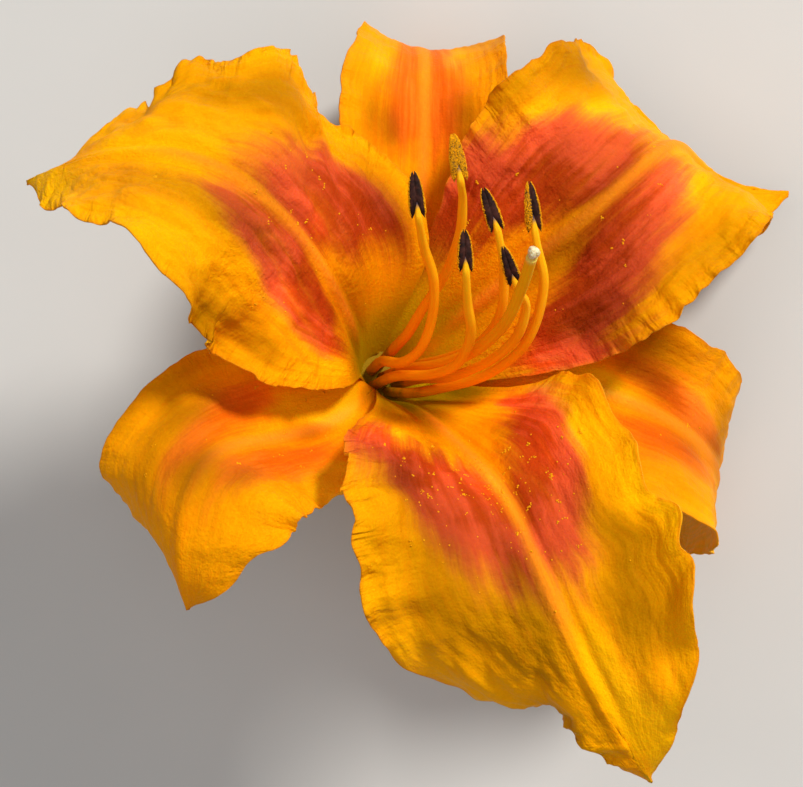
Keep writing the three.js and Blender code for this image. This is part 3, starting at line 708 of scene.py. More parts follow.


# Where the colours lie, mostly from 0 to 1: the eye zone between its two lists of places, blurred
# by streaks, the throat and warmth by the place, the rib and the edge by their distances, and the
# edge also along the creases, as painted shade. The painted light and shade is 2 to the power of
# the stops' sum, the sheath lies at the foot, the rib and the veins of the outer face, the rim
# where crimps are, and bloomLight runs from the eye zone's start to its end.
def bladeMarks(tepal, s, v, width, vein, crease, patches, outside):
    reach = np.abs(v)
    fromRib, fromMargin = reach * width, (1 - reach) * width
    overReach = lambda stations: along(stations, reach)
    start = bothSides(tepal, "eyeFrom", v, overReach)
    end = bothSides(tepal, "eyeTo", v, overReach)
    depth = np.clip(bothSides(tepal, "eyeDepth", v, overReach), 0, 1)
    feather = 0.010 * softNoise(v * 42, s * 5, tepal["azimuth"] + 7)
    feather = feather + 0.028 * softNoise(v * 13 + 50, s * 3, tepal["azimuth"] + 8)
    rise = smoothStep(s + feather, start - 0.08, start + 0.08)
    fall = 1 - smoothStep(s + feather, end - 0.12, end + 0.07)
    ribFade = smoothStep(s, 0.1, 0.25) * (1 - smoothStep(s, 0.66, 0.8))
    ribTint = 0.7 * bell(fromRib, 0.8) * ribFade
    flush = rise * fall * depth * (1 - 0.5 * bell(fromRib, 0.9)) + 0.06 * (vein - 0.5)
    warmth = 0.75 * (1 - smoothStep(s, 0.3, 0.75)) * (1 - 0.5 * smoothStep(reach, 0.55, 0.95))
    warmth = warmth + 0.25 * bell(fromRib, 3.0) + 0.15 * smoothStep(s, 0.8, 1)
    throat = 1 - smoothStep(s, 0.08, 0.25 + 0.09 * bell(reach, 0.5))
    sheathRib = 0.7 * bell(fromRib, 1.3) * (1 - smoothStep(s, 0.25, 0.85))
    sheath = 1 - smoothStep(s, 0, 0.2) + sheathRib + 0.3 * vein**2
    # Painted light and shade: patches of stops that brighten or darken the colour as light and shade
    # would.
    paintedShading = 0 * s
    for middle, reachTo, alongSize, acrossSize, stops in tepal["paintedShadingPatches"]:
        paintedShading = paintedShading + stops * bell(s - middle, alongSize) * bell(v - reachTo, acrossSize)
    blotches = np.clip(0.65 + 0.8 * softNoise(s * 7, v * 3, tepal["azimuth"] + 12), 0.2, 1.2)
    crimped = 0.25 + 0.75 * np.minimum(bothSides(tepal, "crimping", v), 1)
    edgeNoise = 0.5 + 0.5 * softNoise(s * tepal["length"] / 1.6, 5 + 0 * s, tepal["azimuth"] + 9)
    edge = np.exp(-fromMargin / 0.3) * (0.35 + 0.5 * edgeNoise) * smoothStep(s, 0.15, 0.3)
    return {
        "flush": flush * (1 - 0.6 * outside),
        "warmth": np.clip(warmth, 0, 1),
        "throat": throat,
        "ribTint": ribTint * (1 - outside),
        # The creases take the edge colour as painted shade.
        "edge": np.maximum(edge, 0.4 * crease),
        "paintedShading": 2 ** np.clip(paintedShading * (1 - outside), -1.2, 1.2),
        "outside": outside + 0 * s,
        "sheath": outside * np.clip(sheath, 0, 0.9),
        "rim": patches * np.exp(-fromMargin / 3.2),
        "pebbled": (1 - throat) * blotches * crimped,
        "bloomLight": smoothStep((s - start) / np.maximum(end - start, 0.05), 0.1, 0.9),
    }


# A closed blade: the middle surface plus its relief, moved half the thickness to each side along
# the normal, and a strip of triangles round the edge. It thickens with the square of the distance
# from its margins, where its columns crowd. Its inner face is given back for the fallen pollen.
def addBlade(tepal, grid, skin):
    place = np.linspace(0, 1, grid["rows"] + 1)
    spacing = np.linspace(-1, 1, grid["columns"] + 1)
    v = np.sign(spacing) * (1 - (1 - np.abs(spacing)) ** bladeShape["marginCrowding"])
    middle, s, v, width = bladeMiddle(tepal, grid, place, v)
    relief, *fine = bladeRelief(tepal, grid, s, v, width)
    middle = middle + relief[..., None] * gridNormals(middle)
    thinning = 1 - (1 - np.abs(v)) ** 2
    thickness = bladeShape["ribThickness"] * (1 - thinning) + bladeShape["marginThickness"] * thinning
    offset = gridNormals(middle) * thickness[..., None] / 2
    rows, columns = s.shape
    front = gridTriangles(rows, columns)
    count = rows * columns
    index = np.arange(count).reshape(rows, columns)
    rim = np.concatenate([index[:, 0], index[-1, 1:], index[-2::-1, -1], index[0, -2:0:-1]])
    ahead = np.roll(rim, -1)
    down = np.stack([rim, rim + count, ahead + count], axis=-1)
    back = np.stack([rim, ahead + count, ahead], axis=-1)
    triangles = np.concatenate([front, front[:, ::-1] + count, down, back])
    points = np.concatenate([(middle + offset).reshape(-1, 3), (middle - offset).reshape(-1, 3)])
    inner, outer = (bladeMarks(tepal, s, v, width, *fine, side) for side in (0.0, 1.0))
    marks = {key: np.concatenate([inner[key].ravel(), outer[key].ravel()]) for key in inner}
    mapUv = np.stack([s.ravel(), v.ravel() / 2 + 0.5], axis=-1)
    name = tepal["name"]
    mapUv = np.concatenate([mapUv, mapUv])
    addPiece(name + "_blade", points, triangles, skin, (name,), marks, mapUv)
    return middle + offset


petalSkin = bladeSkin("petalSkin", petalLook)
sepalSkin = bladeSkin("sepalSkin", sepalLook)
innerFaces = {}
for tepal in tepals:
    isPetal = tepal["name"].startswith("petal")
    grid = petalGrid if isPetal else sepalGrid
    innerFaces[tepal["name"]] = addBlade(tepal, grid, petalSkin if isPetal else sepalSkin)
print("petals and sepals are made")


# Triangles of a closed tube: the grid round its rings, and a fan at each end to that end's middle.
# The two middles are the points that follow the rings'.
def tubeTriangles(rows, sides):
    body = gridTriangles(rows, sides, wrapped=True)[:, ::-1]
    around, beside = np.arange(sides), (np.arange(sides) + 1) % sides
    first, last = np.full(sides, rows * sides), np.full(sides, rows * sides + 1)
    end = (rows - 1) * sides
    foot = np.stack([first, beside, around], axis=-1)
    top = np.stack([last, end + around, end + beside], axis=-1)
    return np.concatenate([body, foot, top])


# A closed tube: rings of points round a path, with radii over the grid of places and angles. Its
# ring's two ways are side, kept square to the path, and across, which flatten shortens.
def closedTube(path, side, radius, flatten=1.0):
    sides = radius.shape[1]
    forward = unit(np.gradient(path, axis=0))
    side = unit(side - (side * forward).sum(axis=-1, keepdims=True) * forward)
    across = np.cross(forward, side)
    angle = ringAngles(sides)
    cosine, sine = np.cos(angle)[None, :, None], np.sin(angle)[None, :, None]
    outward = cosine * side[:, None] + flatten * sine * across[:, None]
    ring = path[:, None] + radius[..., None] * outward
    points = np.concatenate([ring.reshape(-1, 3), path[:1], path[-1:]])
    return points, tubeTriangles(len(path), sides)


# The map of a tube's points: the share round it and the share along it.
def tubeMap(rows, sides):
    place, around = np.meshgrid(np.linspace(0, 1, rows), np.arange(sides) / sides, indexing="ij")
    both = np.stack([around.ravel(), place.ravel()], axis=-1)
    return np.concatenate([both, [[0.5, 0.0], [0.5, 1.0]]])


# A stamen's thread or the style: orange at the foot and yellow above, with faint lengthwise lines,
# and a root darkened as painted shade where it sinks into the throat.
def threadSkin(name, look):
    bench = NodeBench(name)
    surface = bench.surface()
    place = bench.place()
    height = bench.node("SeparateXYZ", {0: surface}, output=1)
    lines = bench.noise(bench.scaled(surface, (14, 5, 1)), 1.0, 2)
    clouds = bench.noise(place, 260, 3)
    share = bench.maths("ADD", height, bench.spread(clouds, 0.3, 0.7, -0.08, 0.08))
    colour = bench.mix(bench.spread(share, 0.05, look["middle"]), look["foot"], look["shaft"])
    colour = bench.mix(bench.spread(share, look["middle"], 0.97), colour, look["top"])
    colour = bench.mix(bench.spread(lines, 0.4, 0.7, 0.0, 0.35), colour, look["lines"])
    # Painted shade: the root darkens where the thread sinks into the throat's floor.
    colour = bench.mix(bench.spread(share, *look["rootShadeEnds"], 1.0, 0.0), colour, look["root"])
    colour = bench.mix(bench.spread(height, *look["wedgeEnds"]), colour, look["wedge"])
    relief = bench.bump(lines, 0.2, 0.0002)
    relief = bench.bump(bench.noise(place, 2200, 2), 0.15, 0.0002, relief)
    roughness = bench.spread(clouds, 0.3, 0.7, 0.34, 0.5)
    return bench.finish(
        Base_Color=colour,
        Roughness=roughness,
        Normal=relief,
        Specular_IOR_Level=0.06,
        Subsurface_Weight=0.25,
        Subsurface_Radius=(1.0, 0.4, 0.08),
        Subsurface_Scale=0.0012,
    )


filamentSkin = threadSkin(
    "filamentSkin",
    {
        "foot": (0.92, 0.25, 0.001, 1),
        "shaft": (0.95, 0.34, 0.002, 1),
        "top": (0.95, 0.46, 0.006, 1),
        "lines": (0.90, 0.22, 0.001, 1),
        # The root colour is painted shade where the thread sinks into the throat.
        "root": (0.40, 0.16, 0.002, 1),
        "rootShadeEnds": (0.04, 0.18),
        "wedge": (0.10, 0.06, 0.08, 1),
        "wedgeEnds": (0.945, 0.985),
        "middle": 0.45,
    },
)
styleSkin = threadSkin(
    "styleSkin",
    {
        "foot": (0.86, 0.23, 0.001, 1),
        "shaft": (0.88, 0.35, 0.002, 1),
        "top": (0.86, 0.45, 0.004, 1),
        "lines": (0.80, 0.22, 0.001, 1),
        # The root colour is painted shade where the style sinks into the throat.
        "root": (0.28, 0.10, 0.003, 1),
        "rootShadeEnds": (0.03, 0.15),
        "wedge": (0.80, 0.52, 0.09, 1),
        "wedgeEnds": (0.98, 1.0),
        "middle": 0.55,
    },
)

# Each stamen has its thread's stations from the foot up, the way in which its anther points, how
# far the anther slides along that way, its size and breadth as shares of the common one, its tilt
# in degrees and where its pollen lies.
stamens = [
    {
        "path": [
            (-1, 2, 0), (-3.5, 2, 9), (-5.5, 0, 17), (-5, 0, 23),
            (-4, 2.5, 29), (-4, 6.5, 35.5), (-5, 11, 40.5), (-6, 14.5, 45.5),
        ],
        "antherWay": (2.8, 5.5, 1.7), "slide": -0.5, "size": 0.98,
        "breadth": 1, "tilt": 0, "pollen": "edges",
    },
    {
        "path": [
            (1, 2, 0), (0, 2.5, 8), (-0.5, 3, 15), (0, 4.5, 22),
            (1.5, 6.5, 30.5), (2.5, 9.5, 38), (2.5, 12.5, 43.5), (1.5, 14.5, 47.5),
        ],
        "antherWay": (2.8, 6.1, 1.6), "slide": 0.35, "size": 1.0,
        "breadth": 1.0, "tilt": 0, "pollen": "all",
    },
    {
        "path": [
            (-2.5, 0, 0), (-5, -1, 12), (-6, -4, 22.5), (-6.5, -5, 31),
            (-6.5, -3, 38.5), (-7, 1, 44), (-7, 4.5, 48.5),
        ],
        "antherWay": (3, 5.6, 2), "slide": -0.6, "size": 0.88,
        "breadth": 0.95, "tilt": 2, "pollen": "edges",
    },
    {
        "path": [
            (2.5, 0, 0), (1.5, -1.5, 8), (0.5, -3.5, 18), (0.5, -4.5, 28),
            (1, -3, 36.5), (1.5, 1.5, 43), (2, 7, 47.5),
        ],
        "antherWay": (2, 6.5, 1.1), "slide": -1.2, "size": 0.97,
        "breadth": 1.0, "tilt": -1, "pollen": "edges",
    },
    {
        "path": [
            (1, -2, 0), (0, -3.5, 9), (-1.5, -6, 19), (-1, -7.5, 29.5),
            (0, -7, 38), (0.5, -4, 44), (-1, -1, 47.5),
        ],
        "antherWay": (1.8, 4.5, 3.5), "slide": -0.7, "size": 0.9,
        "breadth": 0.95, "tilt": -18, "pollen": "edges",
    },
    {
        "path": [
            (-1, -2, 0), (-1.5, -4.5, 7), (-0.5, -6.5, 13), (1.5, -9, 23),
            (4, -8.5, 33), (6.5, -3.5, 41.5), (8, 4, 46.5),
        ],
        "antherWay": (2.9, 6.5, 1.7), "slide": -1.5, "size": 1.08,
        "breadth": 1.0, "tilt": 3, "pollen": "half",
    },
]
# Anthers face the way towards the eye. A thread's root goes so deep into the throat's floor, the
# gap is what it keeps from the anther's foot, and the wedge is its end inside the anther.
threadShape = {
    "facing": (-0.5, 0.0, 0.87), "footGap": 0.6, "rootDepth": 0.9, "rings": 150, "sides": 20,
    "footRadius": 0.8, "shaftRadius": 0.72, "tipRadius": 0.56,
    "wedgeLength": 2.6, "wedgeLift": 0.62, "wedgeRings": 15,
}


# A thread's path: back along its first stretch into the throat's floor, then its stations, evenly
# spaced. The style has the same.
def threadPath(stations, rings):
    stations = np.array(stations, float)
    stretch = stations[1] - stations[0]
    first = stations[0] - stretch * threadShape["rootDepth"] / stretch[2]
    upper = along(stations, np.linspace(0, 1, 400))
    whole = np.concatenate([np.linspace(first, stations[0], 40)[:-1], upper])
    distance = np.concatenate([[0], np.cumsum(np.linalg.norm(np.diff(whole, axis=0), axis=1))])
    even = np.linspace(0, distance[-1], rings)
    return np.stack([np.interp(even, distance, whole[:, k]) for k in range(3)], axis=-1)


# A thread or the style: a closed tube round its path, its radius wavering with noise by 3 in 100.
def addThread(name, path, radius, skin, replaced):
    rings, sides = len(path), threadShape["sides"]
    side = np.array(eye["right"])[None] + 0 * path
    waver = 0.03 * softNoise(np.linspace(0, 9, rings)[:, None], np.full((1, sides), 3), len(name))
    points, triangles = closedTube(path, side, radius[:, None] * (1 + waver))
    addPiece(name, points, triangles, skin, replaced, None, tubeMap(rings, sides))


# Anthers. Each is two lobes side by side, joined above and parted at the foot round the thread's
# tip. A lobe's radius, its distance from the middle and its height off the anther's plane run on
# curves through even stations, from the pointed foot to the narrow top.
antherShape = {
    "length": 6.8,
    "radius": [0.03, 0.4, 0.62, 0.66, 0.61, 0.5, 0.36, 0.04],
    "offset": [0.92, 0.72, 0.5, 0.42, 0.38, 0.34, 0.26, 0.14],
    "lift": [-0.3, 0, 0.2, 0.3, 0.3, 0.2, 0.05, -0.15],
    "depthShare": 0.9, "rings": 76, "sides": 32,
    "grains": {"edges": 620, "all": 2600, "half": 1200},
    "grainRadius": (0.05, 0.11), "grainScatter": 0.03,
    "black": (0.014, 0.005, 0.004, 1),
    "brown": (0.055, 0.016, 0.011, 1),
    "dust": (0.52, 0.22, 0.003, 1),
}


# Near-black lobes, ridged lengthwise, with a golden dust where the pollenDust mark and pits add up.
def antherSkin():
    bench = NodeBench("antherSkin")
    place = bench.place()
    surface = bench.surface()
    clouds = bench.noise(place, 900, 3, 0.6)
    pits = bench.noise(place, 4200, 2, 0.7)
    ridges = bench.noise(bench.scaled(surface, (16, 3, 1)), 1.0, 2)
    colour = bench.mix(bench.spread(clouds, 0.35, 0.7), antherShape["black"], antherShape["brown"])
    dusting = bench.maths("MULTIPLY_ADD", bench.mark("pollenDust"), 0.5, pits)
    colour = bench.mix(bench.spread(dusting, 0.78, 0.95), colour, antherShape["dust"])
    relief = bench.bump(ridges, 0.4, 0.0003)
    relief = bench.bump(pits, 0.5, 0.0002, relief)
    return bench.finish(
        Base_Color=colour,
        Roughness=bench.spread(pits, 0.3, 0.7, 0.5, 0.8),
        Normal=relief,
        Specular_IOR_Level=0.1,
    )


pollenLook = {"deep": (0.70, 0.27, 0.003, 1), "bright": (0.88, 0.42, 0.006, 1)}


# Matt grains between the two golds.
def pollenSkin():
    bench = NodeBench("pollenSkin")
    place = bench.place()
    clouds = bench.noise(place, 1800, 2)
    colour = bench.mix(bench.spread(clouds, 0.3, 0.7), pollenLook["deep"], pollenLook["bright"])
    return bench.finish(
        Base_Color=colour,
        Roughness=bench.spread(clouds, 0.3, 0.7, 0.8, 0.95),
        Normal=bench.bump(bench.noise(place, 6000, 2), 0.4, 0.0001),
        Specular_IOR_Level=0.05,
    )


antherBlack = antherSkin()
pollenGold = pollenSkin()
grainCorners = np.array([(1, 0, 0), (-1, 0, 0), (0, 1, 0), (0, -1, 0), (0, 0, 1), (0, 0, -1)], float)
grainFaces = np.array(
    [(0, 2, 4), (2, 1, 4), (1, 3, 4), (3, 0, 4), (2, 0, 5), (1, 2, 5), (3, 1, 5), (0, 3, 5)]
)


# Eight-sided grains, each turned by its own random turn, all in one mesh.
def grainMesh(centres, radii, rng):
    count = len(centres)
    turn = unit(rng.normal(size=(count, 3)))
    helper = unit(np.cross(turn, rng.normal(size=(count, 3))))
    basis = np.stack([turn, helper, np.cross(turn, helper)], axis=1)
    corners = np.einsum("kc,ncd->nkd", grainCorners, basis) * radii[:, None, None]
    points = (centres[:, None] + corners).reshape(-1, 3)
    return points, (grainFaces[None] + 6 * np.arange(count)[:, None, None]).reshape(-1, 3)


# The ways up, sideways and outward of an anther, tilted in its own plane.
def antherWays(stamen):
    upward = unit(np.array(stamen["antherWay"], float))
    sideways = unit(np.cross(upward, np.array(threadShape["facing"])))
    outward = np.cross(sideways, upward)
    tilt = math.radians(stamen["tilt"])
    return (
        upward * math.cos(tilt) + sideways * math.sin(tilt),
        sideways * math.cos(tilt) - upward * math.sin(tilt),
        outward,
    )


# The lobes are two closed tubes whose paths stand off the anther's line to each side. Pollen
# covers their rims, the whole or one half, and grains sit where a random draw, weighted by the
# cover, puts them.
def addAnther(number, stamen, foot):
    shape = antherShape
    upward, sideways, outward = antherWays(stamen)
    length = shape["length"] * stamen["size"]
    share = np.linspace(0, 1, shape["rings"])
    around = ringAngles(shape["sides"])
    swell = np.maximum(along(shape["radius"], share), 0.02) * stamen["breadth"]
    apart = along(shape["offset"], share) * stamen["breadth"]
    lobes, faces, edges = [], [], []
    for side in (-1, 1):
        path = foot + length * share[:, None] * upward + side * apart[:, None] * sideways
        path = path + along(shape["lift"], share)[:, None] * outward
        inner = np.angle(np.exp(1j * (around - (np.pi if side > 0 else 0))))
        seam = 1 - 0.1 * bell(inner, 0.5)
        waver = 1 + 0.06 * softNoise(share[:, None] * 13, around[None] * 1.6, number * 11 + side)
        radius = swell[:, None] * seam[None] * waver
        points, triangles = closedTube(path, sideways[None] + 0 * path, radius, shape["depthShare"])
        faces.append(triangles + sum(len(lobe) for lobe in lobes))
        lobes.append(points)
        rim = np.repeat(apart + swell, shape["sides"])
        rim = np.concatenate([rim, [swell[0], swell[-1]]])
        edges.append(side * ((points - foot) @ sideways) / rim)
    points = np.concatenate(lobes)
    rimShare = np.concatenate(edges)
    local = points - foot
    x, y, z = local @ sideways, local @ upward, local @ outward
    rim = smoothStep(rimShare, 0.74, 0.95)
    half = np.maximum(rim, 0.9 * (x < -0.15))
    covers = {"edges": rim, "all": np.maximum(rim, 0.95), "half": half}
    cover = covers[stamen["pollen"]]
    mapUv = np.concatenate([tubeMap(shape["rings"], shape["sides"])] * 2)
    name = f"anther_{number}"
    dust = {"pollenDust": 0.9 * cover}
    addPiece(name + "_lobes", points, np.concatenate(faces), antherBlack, (name,), dust, mapUv)
    rng = np.random.default_rng(40 + number)
    patches = softNoise(y * 1.6, x * 2, number) > -0.3
    chance = cover**2 * (0.3 + 0.7 * patches) * (z > -0.5) * (y > 0.5) * (y < length - 0.1)
    amount = shape["grains"][stamen["pollen"]]
    chosen = rng.choice(len(points), amount, p=chance / chance.sum())
    radii = rng.uniform(*shape["grainRadius"], amount)
    away = unit(points[chosen] - (foot + y[chosen][:, None] * upward))
    scatter = rng.normal(scale=shape["grainScatter"], size=(amount, 3))
    centres = points[chosen] + away * radii[:, None] * 0.3 + scatter
    grains, grainTriangles = grainMesh(centres, radii, rng)
    addPiece(name + "_pollen", grains, grainTriangles, pollenGold, ())


# A thread swells a little at its foot, thins to its tip and ends in a wedge inside the anther.
def addStamen(number, stamen):
    shape = threadShape
    tip = np.array(stamen["path"][-1], float)
    tangent = unit(tip - np.array(stamen["path"][-2], float))
    upward, _, outward = antherWays(stamen)
    foot = tip + shape["footGap"] * tangent + stamen["slide"] * upward
    path = threadPath(stamen["path"], shape["rings"])
    nearTip = smoothStep(np.linspace(0, 1, len(path)), 0.8, 1)[:, None]
    path = path + nearTip * (foot - shape["footGap"] * tangent - tip)
    rise = np.linspace(0, 1, shape["wedgeRings"] + 1)[1:, None]
    wedge = foot + rise * shape["wedgeLength"] * upward + shape["wedgeLift"] * rise**0.7 * outward
    bodyShare = len(path) / (len(path) + len(wedge))
    path = np.concatenate([path, wedge])
    share = np.linspace(0, 1, len(path))
    thinner = shape["shaftRadius"] - shape["footRadius"]
    radius = shape["footRadius"] + thinner * smoothStep(share, 0.05, 0.6)
    radius = radius + (shape["tipRadius"] - radius) * smoothStep(share, bodyShare - 0.15, bodyShare)
    radius = np.maximum(radius * np.clip((1 - share) / (1 - bodyShare), 0, 1) ** 0.8, 0.03)
    name = f"filament_{number}"
    addThread(name + "_thread", path, radius, filamentSkin, (name,))
    addAnther(number, stamen, foot)


for number, stamen in enumerate(stamens, 1):
    addStamen(number, stamen)
print("stamens are made")

styleShape = {
    "path": [
        (0, 0, 0), (-2, -1, 10), (-3.5, -3.5, 21.5), (-3.5, -5, 32),
        (-3, -4.5, 42), (-3, -2, 51), (-3.5, 0.5, 58.5),
    ],
    "footRadius": 0.98, "topRadius": 0.78,
    "stigmaRadius": 0.82, "stigmaGap": 0.3, "stigmaStretch": 1.25, "stigmaRings": 70, "stigmaSides": 72,
    "stigmaDeep": (0.55, 0.40, 0.16, 1),
    "stigmaPale": (0.86, 0.78, 0.52, 1),
}
path = threadPath(styleShape["path"], threadShape["rings"])
share = np.linspace(0, 1, len(path))
radius = styleShape["footRadius"] + (styleShape["topRadius"] - styleShape["footRadius"]) * share
addThread("style_thread", path, radius, styleSkin, ("style",))


# The stigma: a ball with three soft lobes and a pitted, slightly fuzzy skin of tiny warts.
def addStigma():
    shape = styleShape
    end = np.array(shape["path"][-1], float)
    forward = unit(end - np.array(shape["path"][-2], float))
    middle = end + (shape["stigmaRadius"] + shape["stigmaGap"]) * forward
    rings, sides = shape["stigmaRings"], shape["stigmaSides"]
    turn = np.linspace(0, np.pi, rings)[:, None]
    angle = ringAngles(sides)[None]
    lobes = 1 + 0.12 * np.cos(3 * angle) * np.sin(turn)
    warts = 0.05 * softNoise(turn * 9, angle * 9 / np.pi * 3, 5)
    warts = warts + 0.03 * softNoise(turn * 21, angle * 20, 6)
    radius = shape["stigmaRadius"] * (lobes + warts * np.sin(turn))
    path = middle - (shape["stigmaRadius"] * shape["stigmaStretch"] * np.cos(turn)) * forward
    side = np.array(eye["right"])[None] + 0 * path
    points, triangles = closedTube(path, side, np.maximum(radius * np.sin(turn), 0.01))
    bench = NodeBench("stigmaSkin")
    place = bench.place()
    warty = bench.noise(place, 3500, 2)
    colour = bench.mix(bench.spread(warty, 0.3, 0.7), shape["stigmaDeep"], shape["stigmaPale"])
    skin = bench.finish(
        Base_Color=colour,
        Roughness=bench.spread(warty, 0.3, 0.7, 0.45, 0.7),
        Normal=bench.bump(warty, 0.5, 0.0003),
        Specular_IOR_Level=0.4,
        Subsurface_Weight=0.3,
        Subsurface_Radius=(1.0, 0.7, 0.3),
        Subsurface_Scale=0.001,
    )
    addPiece("stigma_knob", points, triangles, skin, ("stigma",))


addStigma()
print("style and stigma are made")


# The floral tube, a turned profile with soft ribs on its outside, a cosine of the angle: up to a
# collar that holds the tepals' feet, and over it to the throat's shallow floor.
def addTube():
    shape = tubeShape
    outline = [(r, -d) for r, d in reversed(shape["profile"][1:])]
    top = [shape["brim"], shape["collar"], *shape["throatFloor"]]
    outline = np.array([(0.02, outline[0][1])] + outline + [(r, -d) for r, d in top])
    distance = np.concatenate([[0], np.cumsum(np.linalg.norm(np.diff(outline, axis=0), axis=1))])
    brimAt = distance[-len(top)]
    rows, sides = shape["steps"], shape["sides"]
    even = np.linspace(0, distance[-1], rows)
    radius, height = (np.interp(even, distance, outline[:, k]) for k in range(2))
    angle = ringAngles(sides)
    outside = 1 - smoothStep(even, brimAt - 1, brimAt)
    ribs = shape["ribHeight"] * np.cos(shape["ribs"] * angle)[None] * outside[:, None]
    ribs = ribs * smoothStep(radius, 1, 3)[:, None]
    wide = np.maximum(radius[:, None] + ribs, 0.02)
    ring = [wide * np.cos(angle), wide * np.sin(angle), height[:, None] + 0 * angle]
    points = np.stack(ring, axis=-1).reshape(-1, 3)
    points = np.concatenate([points, [[0, 0, height[0]], [0, 0, height[-1]]]])
    bench = NodeBench("tubeSkin")
    surface = bench.surface()
    place = bench.place()
    stripes = bench.noise(bench.scaled(surface, (60, 3, 1)), 1.0, 3)
    clouds = bench.noise(place, 200, 3)
    blur = bench.spread(clouds, 0.3, 0.7, -0.15, 0.15)
    climb = bench.maths("ADD", bench.mark("climb"), blur, clamp=True)
    colour = bench.mix(climb, shape["green"], shape["yellow"])
    colour = bench.mix(bench.spread(stripes, 0.4, 0.7, 0, 0.4), colour, shape["stripe"])
    colour = bench.mix(bench.mark("inside"), colour, shape["floor"])
    relief = bench.bump(stripes, 0.3, 0.0004)
    relief = bench.bump(bench.noise(place, 2400, 2), 0.2, 0.0003, relief)
    skin = bench.finish(
        Base_Color=colour,
        Roughness=bench.spread(clouds, 0.3, 0.7, 0.5, 0.65),
        Normal=relief,
        Specular_IOR_Level=0.1,
        Subsurface_Weight=0.15,
        Subsurface_Radius=(0.6, 0.8, 0.1),
        Subsurface_Scale=0.0012,
    )
    inside = np.repeat(smoothStep(even, brimAt - 0.1, brimAt + 0.5), sides)
    climbing = np.repeat(smoothStep(height, -22, -1), sides)
    marks = {"inside": np.append(inside, [0, 1]), "climb": np.append(climbing, [0, 1])}
    addPiece(
        "floral_tube_shell", points, tubeTriangles(rows, sides), skin,
        ("floral_tube",), marks, tubeMap(rows, sides),
    )


# The stalk's end: a grooved rod, a little swollen where the tube joins it, its cut end rounded off
# at the rim and paler.
stalkShape = {
    "radius": 2.1, "top": -29.3, "length": 7, "intoTube": 0.5, "inset": 0.05,
    "sides": 72, "steps": 60, "grooves": 9, "grooveDepth": 0.05,
    "dark": (0.16, 0.27, 0.04, 1),
    "light": (0.25, 0.36, 0.07, 1),
    "yellowed": (0.33, 0.36, 0.08, 1),
    "cutDark": (0.50, 0.52, 0.24, 1),
    "cutPale": (0.72, 0.72, 0.42, 1),
}


def addStalk():
    shape = stalkShape
    drop = np.linspace(0, 1, shape["steps"])
    height = shape["top"] + shape["intoTube"] - drop * (shape["length"] + shape["intoTube"])
    path = np.stack([0 * drop, 0 * drop, height], axis=-1)
    angle = ringAngles(shape["sides"])
    grooves = shape["grooveDepth"] * np.cos(shape["grooves"] * angle)[None]
    grooves = grooves + 0.03 * softNoise(drop[:, None] * 5, angle[None] * 2, 3)
    swell = 1 + 0.12 * (1 - smoothStep(drop, 0, 0.25)) - 0.04 * smoothStep(drop, 0.9, 1)
    rounding = np.sqrt(np.clip(1 - ((drop - 0.97) / 0.03).clip(0, 1) ** 2 * 0.3, 0, 1))
    radius = (shape["radius"] - shape["inset"] + grooves) * (swell * rounding)[:, None]
    points, triangles = closedTube(path, np.array([[1.0, 0, 0]]) + 0 * path, radius)
    cut = np.concatenate([np.repeat(smoothStep(drop, 0.985, 1), shape["sides"]), [0, 1]])
    bench = NodeBench("stalkSkin")
    surface = bench.surface()
    place = bench.place()
    stripes = bench.noise(bench.scaled(surface, (40, 2, 1)), 1.0, 3)
    clouds = bench.noise(place, 300, 3)
    fibres = bench.noise(place, 2600, 2)
    colour = bench.mix(bench.spread(stripes, 0.35, 0.7), shape["dark"], shape["light"])
    colour = bench.mix(bench.spread(clouds, 0.5, 0.8, 0, 0.4), colour, shape["yellowed"])
    pale = bench.mix(bench.spread(fibres, 0.4, 0.65), shape["cutDark"], shape["cutPale"])
    colour = bench.mix(bench.mark("cut"), colour, pale)
    skin = bench.finish(
        Base_Color=colour,
        Roughness=bench.spread(clouds, 0.3, 0.7, 0.42, 0.6),
        Normal=bench.bump(fibres, 0.25, 0.0003, bench.bump(stripes, 0.35, 0.0004)),
        Specular_IOR_Level=0.3,
        Subsurface_Weight=0.12,
        Subsurface_Radius=(0.5, 0.9, 0.2),
        Subsurface_Scale=0.001,
    )
    mapUv = tubeMap(shape["steps"], shape["sides"])
    addPiece("stalk_end", points, triangles, skin, ("stalk",), {"cut": cut}, mapUv)


addTube()
addStalk()
print("tube and stalk are made")

